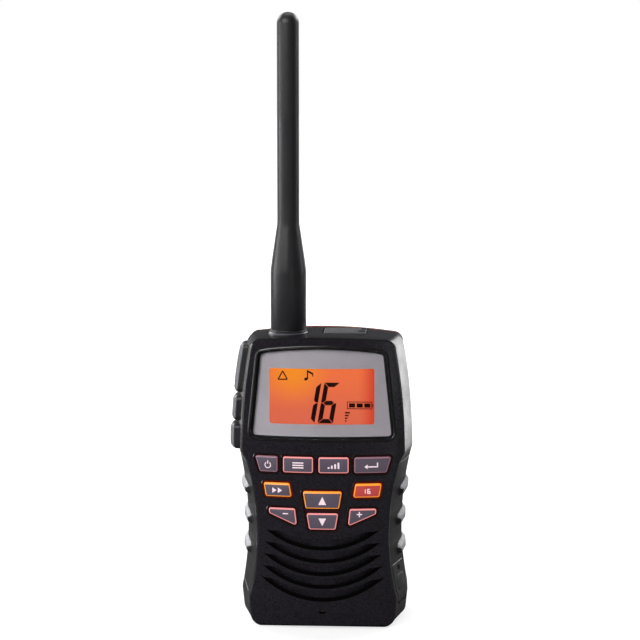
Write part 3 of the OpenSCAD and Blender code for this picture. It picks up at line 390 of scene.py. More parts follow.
@dataclass
class SideFace(Face):
    """The flared left or right face, by Y and Z."""

    side: int

    def place(self, u: float, v: float, lift: float) -> Vector:
        """Returns the point at Y, Z and a lift."""
        inset = FORM.seam_inset * max(0.0, (u - FORM.wide_y) / (FORM.seam_y - FORM.wide_y))
        return Vector((self.side * (FORM.half_at(v, u) - inset + lift), u, v))

    def read(self, at: Vector) -> Point:
        """Returns Y and Z."""
        return at.y, at.z

    def bends(self) -> list[tuple[int, float]]:
        """Returns planes across Z, and one at the widest line."""
        return [(1, FORM.wide_y)] + [(2, 8.0 + 2.3 * k) for k in range(46)]


@dataclass
class PlainFace(Face):
    """A flat face: its axis is 1 for the front or rear, by X and Z, and 2 for a level one, by X and Y."""

    axis: int
    at: float
    outward: int = 1

    def place(self, u: float, v: float, lift: float) -> Vector:
        """Returns the point at the two coordinates and a lift."""
        across = self.at + self.outward * lift
        return Vector((u, across, v)) if self.axis == 1 else Vector((u, v, across))

    def read(self, at: Vector) -> Point:
        """Returns X and the other coordinate along the face."""
        return (at.x, at.z) if self.axis == 1 else (at.x, at.y)


CROWN = CrownFace()
LEFT = SideFace(-1)
RIGHT = SideFace(1)
REAR = PlainFace(1, FORM.rear_y)


# ---- mesh work


class Tag(IntEnum):
    """Material of a face of the front shell."""

    SHELL = 0
    # Walls and floors of cuts, painted darker than the shell as painted shade.
    RECESS = 1
    GRIP_WALL = 2
    BEZEL = 3
    # Painted light: a red glow on the pocket floors that stands for the keys' backlight spilling into them.
    EMBER = 4
    DIM_EMBER = 5
    # Louvre gutters and the slot's inside, painted near-black as painted shade.
    GUTTER = 6


def loft(bm: BMesh, rings: Sequence[Sequence[Vector]]) -> tuple[list[list[BMVert]], list[list[BMFace]]]:
    """Extrudes a closed ring of edges through the rings that follow it.

    Args:
        bm: Mesh to add to.
        rings: Points of each ring, the same number in each.

    Returns:
        The vertices of each ring, and the faces of each band between two rings.
    """
    count = len(rings[0])
    loops = [[bm.verts.new(point) for point in rings[0]]]
    edges = [bm.edges.new((loops[0][k], loops[0][(k + 1) % count])) for k in range(count)]
    bands: list[list[BMFace]] = []
    for ring in rings[1:]:
        made = bmesh.ops.extrude_edge_only(bm, edges=edges)["geom"]
        fresh = {item for item in made if isinstance(item, BMVert)}
        loop = [next(edge.other_vert(vert) for edge in vert.link_edges if edge.other_vert(vert) in fresh)
                for vert in loops[-1]]
        for vert, point in zip(loop, ring):
            vert.co = point
        edges = [bm.edges.get((loop[k], loop[(k + 1) % count])) for k in range(count)]
        loops.append(loop)
        bands.append([item for item in made if isinstance(item, BMFace)])
    return loops, bands


def settle(bm: BMesh, cap: BMFace, face: Face, lift: float) -> None:
    """Cuts a cap at the planes where its face bends, and lays it on that face at a lift."""
    parts: list[BMFace] = [cap]
    for axis, value in face.bends():
        places = [vert.co[axis] for part in parts for vert in part.verts]
        if not min(places) + 0.05 < value < max(places) - 0.05:
            continue
        normal = Vector((axis == 0, axis == 1, axis == 2))
        edges = {edge for part in parts for edge in part.edges}
        verts = {vert for part in parts for vert in part.verts}
        cut = bmesh.ops.bisect_plane(bm, geom=[*parts, *edges, *verts], dist=1e-4,
                                     plane_co=normal * value, plane_no=normal)
        parts = [item for item in cut["geom"] if isinstance(item, BMFace)]
    for vert in {vert for part in parts for vert in part.verts}:
        vert.co = face.place(*face.read(vert.co), lift)


def stack(bm: BMesh, face: Face, layers: Sequence[tuple[Outline, float]], tags: Tags = 0) -> None:
    """Adds a closed solid that follows a face.

    Args:
        bm: Mesh to add to.
        face: The face it follows.
        layers: Outline and lift of each ring, with as many points in each outline.
        tags: Material of all faces, or of the first cap, of each band and of the last cap.
    """
    marks = [tags] * (len(layers) + 1) if isinstance(tags, int) else tags
    loops, bands = loft(bm, [[face.place(u, v, lift) for u, v in outline] for outline, lift in layers])
    for mark, band in zip(marks[1:], bands):
        for part in band:
            part.material_index = mark
    for loop, lift, mark in ((loops[0], layers[0][1], marks[0]), (loops[-1], layers[-1][1], marks[-1])):
        cap = bm.faces.new(loop)
        cap.material_index = mark
        settle(bm, cap, face, lift)


def pad(bm: BMesh, face: Face, outline: Outline, profile: Sequence[Point], tags: Tags = 0) -> None:
    """Adds a closed solid whose rings are one outline, grown and lifted by each step of a profile."""
    stack(bm, face, [(offset(outline, grow), lift) for grow, lift in profile], tags)


def closed_loft(bm: BMesh, rings: Sequence[Sequence[Vector]], front: float | None = None,
                marked: tuple[int, int] = (0, Tag.SHELL)) -> None:
    """Adds a closed lofted solid.

    Args:
        bm: Mesh to add to.
        rings: Points of each ring.
        front: Lift of its first cap on the crowned face, or None for a flat cap.
        marked: Number of a band, and the material it gets.
    """
    loops, bands = loft(bm, rings)
    for part in bands[marked[0]]:
        part.material_index = marked[1]
    first = bm.faces.new(loops[0])
    bm.faces.new(loops[-1])
    if front is not None:
        settle(bm, first, CROWN, front)


def rod(bm: BMesh, start: Vector, end: Vector, radius: float, segments: int = 32,
        taper: float = 1.0) -> None:
    """Adds a cylinder or cone between two points; taper is the share of the radius left at its end."""
    along = end - start
    matrix = Matrix.Translation((start + end) / 2) @ along.to_track_quat("Z", "Y").to_matrix().to_4x4()
    bmesh.ops.create_cone(bm, cap_ends=True, cap_tris=False, segments=segments, radius1=radius,
                          radius2=radius * taper, depth=along.length, matrix=matrix)


def along_y(x: float, y: Point, z: float) -> tuple[Vector, Vector]:
    """Returns the ends of a rod that runs along Y."""
    return Vector((x, y[0], z)), Vector((x, y[1], z))


def turned(bm: BMesh, profile: Sequence[Point], centre: Vector, axis: Vector, steps: int = 64) -> None:
    """Spins a profile of radius and height about an axis through a centre into a closed solid."""
    side = axis.orthogonal().normalized()
    verts = [bm.verts.new(centre + side * radius + axis * height) for radius, height in profile]
    edges = [bm.edges.new(pair) for pair in zip(verts, verts[1:])]
    bmesh.ops.spin(bm, geom=[*verts, *edges], cent=centre, axis=axis, angle=2 * math.pi, steps=steps,
                   use_merge=True)
    bmesh.ops.remove_doubles(bm, verts=bm.verts[:], dist=1e-4)


def padded(face: Face, outline: Outline, profile: Sequence[Point]) -> BMesh:
    """Returns a new mesh with one pad."""
    bm = bmesh.new()
    pad(bm, face, outline, profile)
    return bm


def linked(name: str, data: ID) -> Object:
    """Returns a new object of the scene."""
    made = bpy.data.objects.new(name, data)
    bpy.context.scene.collection.objects.link(made)
    return made


def as_object(name: str, bm: BMesh) -> Object:
    """Writes a mesh into a new object of the scene, and frees it."""
    mesh = bpy.data.meshes.new(name)
    bm.to_mesh(mesh)
    bm.free()
    return linked(name, mesh)


class Join(Enum):
    """How a tool mesh is combined with a base mesh."""

    ADD = "UNION"
    CUT = "DIFFERENCE"
    KEEP = "INTERSECT"


def combine(base: BMesh, tool: BMesh, how: Join) -> BMesh:
    """Combines two meshes of closed solids; both are freed.

    Args:
        base: Mesh that is kept, cut or added to.
        tool: Mesh that does it.
        how: The kind of combination.

    Returns:
        The new mesh.
    """
    made = []
    for bm in (base, tool):
        bmesh.ops.recalc_face_normals(bm, faces=bm.faces[:])
        made.append(as_object("work", bm))
    modifier = made[0].modifiers.new("combine", "BOOLEAN")
    modifier.object, modifier.operation, modifier.solver = made[1], how.value, "MANIFOLD"
    result = bpy.data.meshes.new_from_object(
        made[0].evaluated_get(bpy.context.evaluated_depsgraph_get()))
    bm = bmesh.new()
    bm.from_mesh(result)
    for obj in made:
        mesh = obj.data
        bpy.data.objects.remove(obj)
        bpy.data.meshes.remove(mesh)
    bpy.data.meshes.remove(result)
    return bm


def soften(bm: BMesh, width: float) -> None:
    """Bevels the edges of a mesh that are sharper than 35 degrees."""
    limit = math.radians(35.0)
    edges = [edge for edge in bm.edges if len(edge.link_faces) == 2 and edge.calc_face_angle(0.0) > limit]
    bmesh.ops.bevel(bm, geom=edges, offset=width, offset_type="OFFSET", affect="EDGES", segments=2,
                    profile=0.5, material=-1, clamp_overlap=True)


def node_copy(node: Object) -> BMesh:
    """Returns a merged copy of a CAD node's mesh in millimetres, with its flat faces whole."""
    bm = bmesh.new()
    bm.from_mesh(node.data)
    bm.transform(Matrix.Scale(1 / MM, 4))
    bmesh.ops.remove_doubles(bm, verts=bm.verts[:], dist=1e-3)
    bmesh.ops.dissolve_limit(bm, angle_limit=math.radians(0.6), verts=bm.verts[:], edges=bm.edges[:])
    return bm


def publish(name: str, bm: BMesh, finishes: Sequence[Material], body: str = HOUSING_BODY,
            replaces: Sequence[str] = (), sharp: float = 28.0) -> None:
    """Writes a mesh into a piece, dresses it and lets it ride on its body.

    Args:
        name: Name of the piece.
        bm: Its mesh in millimetres, which is freed.
        finishes: Materials, in the order of the faces' tags.
        body: CAD body that the piece rides on.
        replaces: CAD nodes that the piece stands for.
        sharp: Angle in degrees above which an edge shades sharply.
    """
    bmesh.ops.remove_doubles(bm, verts=bm.verts[:], dist=1e-6)
    bmesh.ops.recalc_face_normals(bm, faces=bm.faces[:])
    bm.transform(Matrix.Scale(MM, 4))
    loose = sum(not edge.is_manifold for edge in bm.edges)
    piece = as_object(name, bm)
    mesh = piece.data
    for finish in finishes:
        mesh.materials.append(finish)
    mesh.shade_smooth()
    mesh.set_sharp_from_angle(angle=math.radians(sharp))
    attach(piece, body)
    if replaces:
        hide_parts(*replaces)
    LOG.info("%s: %d faces, %d open edges", name, len(mesh.polygons), loose)


# ---- finishes


def linear(colour: Colour) -> tuple[float, float, float, float]:
    """Returns a colour of 0 to 255 as the linear RGBA that renders as it."""
    values = [c / 255 for c in colour]
    return (*[v / 12.92 if v <= 0.04045 else ((v + 0.055) / 1.055) ** 2.4 for v in values], 1.0)


class Graph:
    """A node tree that is being wired."""

    def __init__(self, tree: NodeTree) -> None:
        """Starts from an empty tree."""
        self.tree = tree
        tree.nodes.clear()

    def add(self, kind: str, inputs: dict[Any, Any] | None = None, **settings: Any) -> Node:
        """Adds a node.

        Args:
            kind: Name of the node's type, without its ShaderNode prefix.
            inputs: Value, colour or output socket for each input.
            settings: Properties of the node.

        Returns:
            The node.
        """
        node = self.tree.nodes.new(f"ShaderNode{kind}")
        for key, value in settings.items():
            setattr(node, key, value)
        for key, value in (inputs or {}).items():
            if isinstance(value, NodeSocket):
                self.tree.links.new(value, node.inputs[key])
            else:
                node.inputs[key].default_value = value
        return node

    def link(self, source: NodeSocket, target: NodeSocket) -> None:
        """Joins two sockets."""
        self.tree.links.new(source, target)

    def close(self, shader: Node, kind: str = "Material") -> None:
        """Joins a shader to the output of the tree."""
        self.add(f"Output{kind}", {0: shader.outputs[0]})

    def math(self, how: str, first: Any, second: Any = 0.0, clamp: bool = False) -> NodeSocket:
        """Returns the result of a math node."""
        return self.add("Math", {0: first, 1: second}, operation=how, use_clamp=clamp).outputs[0]

    def times(self, first: Any, second: Any) -> NodeSocket:
        """Returns a product."""
        return self.math("MULTIPLY", first, second)

    def plus(self, first: Any, second: Any, clamp: bool = False) -> NodeSocket:
        """Returns a sum."""
        return self.math("ADD", first, second, clamp)

    def minus(self, first: Any, second: Any) -> NodeSocket:
        """Returns a difference."""
        return self.math("SUBTRACT", first, second)

    def rate(self, size: Any) -> NodeSocket:
        """Returns how often a size in millimetres fits in a metre."""
        return self.math("DIVIDE", 1 / MM, size)

    def noise(self, place: Any, scale: Any, detail: float = 2.0, rough: float = 0.55) -> NodeSocket:
        """Returns a noise of a scale over some coordinates."""
        return self.add("TexNoise", {"Vector": place, "Scale": scale, "Detail": detail,
                                     "Roughness": rough}).outputs["Fac"]

    def mix(self, share: Any, first: Any, second: Any) -> NodeSocket:
        """Returns a mix of two colours."""
        return self.add("Mix", {0: share, 6: first, 7: second}, data_type="RGBA").outputs[2]

    def ramp(self, value: Any, low: float, high: float) -> NodeSocket:
        """Returns 0 below low and 1 above high, smoothly between them."""
        return self.add("MapRange", {0: value, 1: low, 2: high}, interpolation_type="SMOOTHSTEP").outputs[0]


def new_material(name: str) -> tuple[Material, Graph]:
    """Starts a material, and returns it with its empty node tree."""
    material = bpy.data.materials.new(name)
    material.use_nodes = True
    return material, Graph(material.node_tree)


class Effect(Enum):
    """Effects that several materials share, as node groups."""

    GRAIN = "moulded_grain"
    HANDLING = "handling_marks"
    TONE = "tone_drift"
    DUST = "settled_dust"
    BRUSHED = "brushed_lines"
    WEAVE = "woven_threads"


class EffectShelf:
    """Builds each shared effect once and hands out its node group."""

    def __init__(self) -> None:
        """Builds the groups."""
        forms = {
            Effect.GRAIN: (self._grain, "Height", {"Cell": 0.3}),
            Effect.HANDLING: (self._handling, "Roughness", {"Low": 0.35, "High": 0.5, "Patch": 14.0}),
            Effect.TONE: (self._tone, "Colour", {"First": WHITE, "Second": WHITE, "Patch": 6.0}),
            Effect.DUST: (self._dust, "Mask", {"Amount": 0.3, "Cell": 0.9}),
            Effect.BRUSHED: (self._brushed, "Height", {"Cell": 0.12}),
            Effect.WEAVE: (self._weave, "Height", {"Pitch": 0.4}),
        }
        self.groups = {effect: self._group(effect, fill, output, **inputs)
                       for effect, (fill, output, inputs) in forms.items()}

    @staticmethod
    def _group(effect: Effect, fill: Callable[[Graph, Any, Any], Any], output: str,
               **inputs: Any) -> NodeTree:
        """Makes a node group.

        Args:
            effect: The effect it holds.
            fill: Adds its nodes, given the graph, the group's inputs and the object coordinates.
            output: Name of its output.
            inputs: Name and starting value of each input.

        Returns:
            The group.
        """
        tree = bpy.data.node_groups.new(effect.value, "ShaderNodeTree")
        for name, value in inputs.items():
            kind = "NodeSocketFloat" if isinstance(value, float) else "NodeSocketColor"
            socket = tree.interface.new_socket(name=name, in_out="INPUT", socket_type=kind)
            socket.default_value = value
        kind = "NodeSocketColor" if output == "Colour" else "NodeSocketFloat"
        tree.interface.new_socket(name=output, in_out="OUTPUT", socket_type=kind)
        graph = Graph(tree)
        source, target = tree.nodes.new("NodeGroupInput"), tree.nodes.new("NodeGroupOutput")
        graph.link(fill(graph, source.outputs, graph.add("TexCoord").outputs["Object"]), target.inputs[0])
        return tree

    @staticmethod
    def _grain(graph: Graph, given: Any, place: Any) -> Any:
        """Returns the fine spark-eroded grain of a mould, whose cell is given in millimetres."""
        scale = graph.rate(given["Cell"])
        cells = graph.add("TexVoronoi", {"Vector": place, "Scale": scale}, feature="SMOOTH_F1")
        fine = graph.noise(place, graph.times(scale, 0.55), 3.0)
        return graph.plus(graph.times(cells.outputs["Distance"], 0.6), graph.times(fine, 0.7))

    @staticmethod
    def _handling(graph: Graph, given: Any, place: Any) -> Any:
        """Returns the polished and dull patches that hands leave, as a roughness between two values."""
        wide = graph.noise(place, graph.rate(given["Patch"]), 3.0)
        both = graph.plus(graph.times(wide, 0.8), graph.times(graph.noise(place, 900.0), 0.2))
        spread = graph.minus(given["High"], given["Low"])
        return graph.plus(given["Low"], graph.times(graph.ramp(both, 0.35, 0.65), spread))

    @staticmethod
    def _tone(graph: Graph, given: Any, place: Any) -> Any:
        """Returns a slow drift between two tones of one colour."""
        wide = graph.noise(place, graph.rate(given["Patch"]), 4.0, 0.6)
        return graph.mix(graph.ramp(wide, 0.3, 0.7), given["First"], given["Second"])

    @staticmethod
    def _dust(graph: Graph, given: Any, place: Any) -> Any:
        """Returns sparse specks of dust as a mask, more of them where Amount is higher."""
        cells = graph.add("TexVoronoi", {"Vector": place, "Scale": graph.rate(given["Cell"])})
        limit = graph.times(graph.ramp(graph.noise(place, 120.0, 3.0), 0.5, 0.8), 0.16)
        return graph.times(graph.math("LESS_THAN", cells.outputs["Distance"], limit), given["Amount"])

    @staticmethod
    def _brushed(graph: Graph, given: Any, place: Any) -> Any:
        """Returns long fine lines, as turning or rolling leaves on metal."""
        long = graph.add("Mapping", {"Vector": place, "Scale": (0.06, 1.0, 1.0)}).outputs[0]
        return graph.noise(long, graph.rate(given["Cell"]), 3.0, 0.7)

    @staticmethod
    def _weave(graph: Graph, given: Any, place: Any) -> Any:
        """Returns crossed threads, seen along Y, with their pitch in millimetres."""
        scale = graph.math("DIVIDE", math.pi / MM, given["Pitch"])
        parts = graph.add("SeparateXYZ", {0: place}).outputs
        across, up = (graph.math("ABSOLUTE", graph.math("SINE", graph.times(parts[axis], scale)))
                      for axis in ("X", "Z"))
        return graph.times(across, up)

    def place(self, graph: Graph, effect: Effect, inputs: dict[str, Any]) -> Any:
        """Puts a group into a material and returns its first output."""
        node = graph.tree.nodes.new("ShaderNodeGroup")
        node.node_tree = self.groups[effect]
        for key, value in inputs.items():
            node.inputs[key].default_value = value
        return node.outputs[0]


@dataclass(frozen=True)
class Finish:
    """A finish of one material: moulded, painted, printed, woven or metal."""

    name: str
    tone: Colour
    second: Colour
    roughness: Point = (0.4, 0.55)
    relief: Effect = Effect.GRAIN
    cell: float = 0.3
    bump: float = 0.012
    patch: float = 6.0
    metallic: float = 0.0
    specular: float = 0.5
    coat: float = 0.0
    sheen: float = 0.0
    dust: float = 0.12
    glow: Colour | None = None
    strength: float = 1.0

    def build(self, shelf: EffectShelf) -> Material:
        """Makes the material from the shared effects."""
        material, graph = new_material(self.name)
        colour = shelf.place(graph, Effect.TONE, {"First": linear(self.tone), "Second": linear(self.second),
                                                  "Patch": self.patch})
        specks = shelf.place(graph, Effect.DUST, {"Amount": self.dust})
        worn = shelf.place(graph, Effect.HANDLING, {"Low": self.roughness[0], "High": self.roughness[1]})
        size = "Pitch" if self.relief is Effect.WEAVE else "Cell"
        height = shelf.place(graph, self.relief, {size: self.cell})
        bump = graph.add("Bump", {"Strength": 1.0, "Distance": self.bump * MM, "Height": height})
        values = {
            "Base Color": graph.mix(specks, colour, linear(DUST_COLOUR)), "Roughness": worn,
            "Normal": bump.outputs[0], "Metallic": self.metallic, "Specular IOR Level": self.specular,
            "Coat Weight": self.coat, "Coat Roughness": 0.12, "Sheen Weight": self.sheen}
        if self.glow is not None:
            values |= {"Emission Color": linear(self.glow), "Emission Strength": self.strength}
        graph.close(graph.add("BsdfPrincipled", values))
        return material


@dataclass(frozen=True)
class LitScreen:
    """The backlit screen: amber at its lamp, orange over most of it and red at its right edge."""

    name: str = "lit_screen"
    lamp: Point = (-11.5, 104.0)
    lamp_reach: float = 17.0
    red_from: float = 13.5
    red_to: float = 21.5
    low_z: float = 83.0
    top_z: float = 106.0
    lamp_colour: Colour = (254, 146, 34)
    low_colour: Colour = (228, 106, 76)
    top_colour: Colour = (248, 116, 66)
    red_colour: Colour = (216, 62, 38)

    def build(self, shelf: EffectShelf) -> Material:
        """Makes the material from the shared effects."""
        material, graph = new_material(self.name)
        place = graph.add("TexCoord").outputs["Object"]
        parts = graph.add("SeparateXYZ", {0: place}).outputs
        flat = graph.add("CombineXYZ", {"X": parts["X"], "Z": parts["Z"]}).outputs[0]
        lamp = (self.lamp[0] * MM, 0.0, self.lamp[1] * MM)
        away = graph.add("VectorMath", {0: flat, 1: lamp}, operation="DISTANCE").outputs["Value"]
        near = graph.ramp(away, 0.0, self.lamp_reach * MM)
        rise = graph.ramp(parts["Z"], self.low_z * MM, self.top_z * MM)
        body = graph.mix(rise, linear(self.low_colour), linear(self.top_colour))
        warm = graph.mix(near, linear(self.lamp_colour), body)
        red = graph.ramp(parts["X"], self.red_from * MM, self.red_to * MM)
        colour = graph.mix(red, warm, linear(self.red_colour))
        worn = shelf.place(graph, Effect.HANDLING, {"Low": 0.16, "High": 0.24})
        shader = graph.add("BsdfPrincipled", {
            "Base Color": (0.02, 0.012, 0.008, 1.0), "Emission Color": colour, "Emission Strength": 0.97,
            "Specular IOR Level": 0.05, "Roughness": worn})
        graph.close(shader)
        return material


@dataclass(frozen=True)
class ClearPane:
    """Clear moulded plastic."""

    name: str = "clear_pane"
    tint: Colour = (250, 251, 252)

    def build(self, shelf: EffectShelf) -> Material:
        """Makes the material from the shared effects."""
        material, graph = new_material(self.name)
        worn = shelf.place(graph, Effect.HANDLING, {"Low": 0.015, "High": 0.05})
        shader = graph.add("BsdfPrincipled", {
            "Base Color": linear(self.tint), "Transmission Weight": 1.0, "IOR": 1.3, "Roughness": worn})
        graph.close(shader)
        return material


@dataclass
class Palette:
    """All the finishes of the radio, built once."""

    shelf: EffectShelf = field(default_factory=EffectShelf)

    def __post_init__(self) -> None:
        """Builds each finish under its field name."""
        make = self._make
        grain = {"cell": 0.36, "bump": 0.02, "specular": 0.32}
        fine = {"cell": 0.2, "bump": 0.004, "dust": 0.05}
        lit = {"cell": 0.2, "bump": 0.004, "dust": 0.04}
        metal = {"relief": Effect.BRUSHED, "cell": 0.1, "bump": 0.006, "metallic": 1.0, "dust": 0.05}
        self.shell = make("shell_plastic", (22, 20, 24), (38, 35, 42), (0.2, 0.28), patch=0.8, **grain)
        # Painted shade: near-black for the louvre gutters and the microphone slot, standing for the deep
        # shade in them.
        self.gutter = make("gutter_shade", (3, 3, 4), (5, 5, 6), (0.6, 0.7), specular=0.05, dust=0.0)
        # Painted light: red glows on the housing's pocket floors and the keys' sunk sides, standing for the
        # keys' backlight spilling into the pockets.
        self.ember = make("ember_light", (40, 10, 6), (50, 12, 8), (0.4, 0.5), specular=0.2, dust=0.0,
                          glow=(92, 14, 8), strength=0.9)
        self.dim_ember = make("dim_ember_light", (26, 9, 10), (32, 11, 12), (0.4, 0.5), specular=0.2,
                              dust=0.0, glow=(38, 10, 12), strength=0.7)
        self.bezel = make("bezel_plastic", (18, 17, 20), (24, 23, 26), (0.16, 0.22), bump=0.004, dust=0.05,
                          specular=0.6)
        # Painted shade: a darker copy of the shell plastic for the walls and floors of cuts, standing for
        # the shade in recesses; it is also rougher.
        self.recess = make("recess_plastic", (13, 11, 12), (17, 14, 15), (0.42, 0.55), **grain)
        self.rear = make("rear_plastic", (25, 25, 27), (31, 30, 33), (0.4, 0.52), **grain)
        self.core = make("core_plastic", (214, 92, 28), (226, 104, 36), (0.4, 0.5), cell=0.4)
        self.grip = make("grip_rubber", (22, 21, 23), (28, 27, 29), (0.28, 0.38), cell=0.5, bump=0.012,
                         specular=0.45)
        # Painted highlight: light grey that stands for lamps reflected on the upper and outer facets of the
        # dark rubber ribs.
        self.rib = make("rib_rubber", (168, 166, 170), (186, 184, 188), (0.3, 0.42), cell=0.5, bump=0.012,
                        specular=0.45)
        self.button = make("button_rubber", (24, 24, 26), (32, 32, 34), (0.38, 0.5), cell=0.45, bump=0.02)
        # Painted highlight: lighter grey that stands for the left lamps reflected on the outer bevels and
        # crests of the dark rubber buttons.
        self.button_top = make("button_top_rubber", (96, 96, 101), (110, 110, 115), (0.36, 0.48),
                               cell=0.45, bump=0.02)
        self.flap = make("flap_rubber", (58, 58, 61), (70, 69, 72), (0.5, 0.62), cell=0.5, bump=0.03)
        self.side_flap = make("side_flap_rubber", (34, 33, 35), (42, 41, 43), (0.45, 0.58), cell=0.5,
                              bump=0.02)
        self.antenna = make("antenna_rubber", (29, 28, 31), (35, 33, 36), (0.36, 0.46), cell=0.35,
                            bump=0.01, patch=20.0, dust=0.06)
        self.collar = make("collar_plastic", (70, 70, 76), (84, 84, 90), (0.3, 0.42))
        self.mask = make("silver_print", (226, 218, 224), (233, 225, 231), (0.3, 0.38), cell=0.15,
                         bump=0.002, patch=9.0, dust=0.05)
        self.seal = make("seal_rubber", (9, 9, 10), (13, 13, 14), (0.35, 0.5))
        self.cap = make("key_cap", (78, 71, 84), (84, 77, 90), (0.4, 0.5), **fine, glow=(84, 68, 82),
                        strength=0.32)
        self.red_cap = make("red_key_cap", (176, 62, 58), (186, 70, 64), (0.4, 0.5), **fine,
                            glow=(190, 60, 50), strength=0.3)
        self.pink = make("pink_rim", (150, 96, 100), (160, 102, 104), (0.25, 0.35), **lit,
                         glow=(234, 142, 140), strength=0.9)
        self.dim = make("dim_rim", (124, 98, 112), (134, 104, 116), (0.25, 0.35), **lit,
                        glow=(150, 104, 116), strength=0.5)
        self.amber = make("amber_rim", (190, 120, 44), (200, 126, 48), (0.25, 0.35), **lit,
                          glow=(246, 150, 40), strength=0.8)
        self.sign = make("sign_print", (214, 196, 206), (222, 204, 212), (0.4, 0.5), **lit,
                         glow=(240, 214, 222), strength=0.45)
        self.segment = make("screen_segment", (44, 14, 6), (50, 17, 8), (0.5, 0.6), cell=0.2, bump=0.002,
                            dust=0.0, specular=0.0)
        self.board = make("board_mask", (22, 84, 48), (30, 98, 58), (0.3, 0.45), cell=0.8)
        self.steel = make("steel", (150, 151, 154), (168, 169, 172), (0.22, 0.36), **metal)
        self.dark_steel = make("dark_steel", (84, 86, 90), (98, 100, 104), (0.26, 0.4), **metal)
        self.brass = make("brass", (188, 150, 74), (202, 166, 88), (0.24, 0.36), **metal)
        self.cloth = make("speaker_cloth", (16, 16, 17), (24, 24, 25), (0.7, 0.85), Effect.WEAVE, cell=0.4,
                          bump=0.08, sheen=0.3)
        self.foam = make("foam", (38, 38, 40), (48, 48, 50), (0.8, 0.95), cell=0.5, bump=0.08)
        self.jack = make("jack_plastic", (20, 20, 22), (26, 26, 28), (0.35, 0.5))
        self.cell_wrap = make("cell_wrap", (48, 92, 150), (56, 102, 160), (0.3, 0.42), coat=0.3)
        self.diffuser = make("light_guide", (236, 214, 180), (240, 220, 190), (0.3, 0.4))
        self.mat = make("mat_silicone", (190, 160, 154), (200, 170, 164), (0.45, 0.6))
        self.clip = make("clip_plastic", (24, 24, 26), (30, 30, 32), (0.38, 0.52), **grain)
        self.screen = LitScreen().build(self.shelf)
        self.pane = ClearPane().build(self.shelf)

    def _make(self, *values: Any, **settings: Any) -> Material:
        """Builds one finish from its values."""
        return Finish(*values, **settings).build(self.shelf)


# ---- display


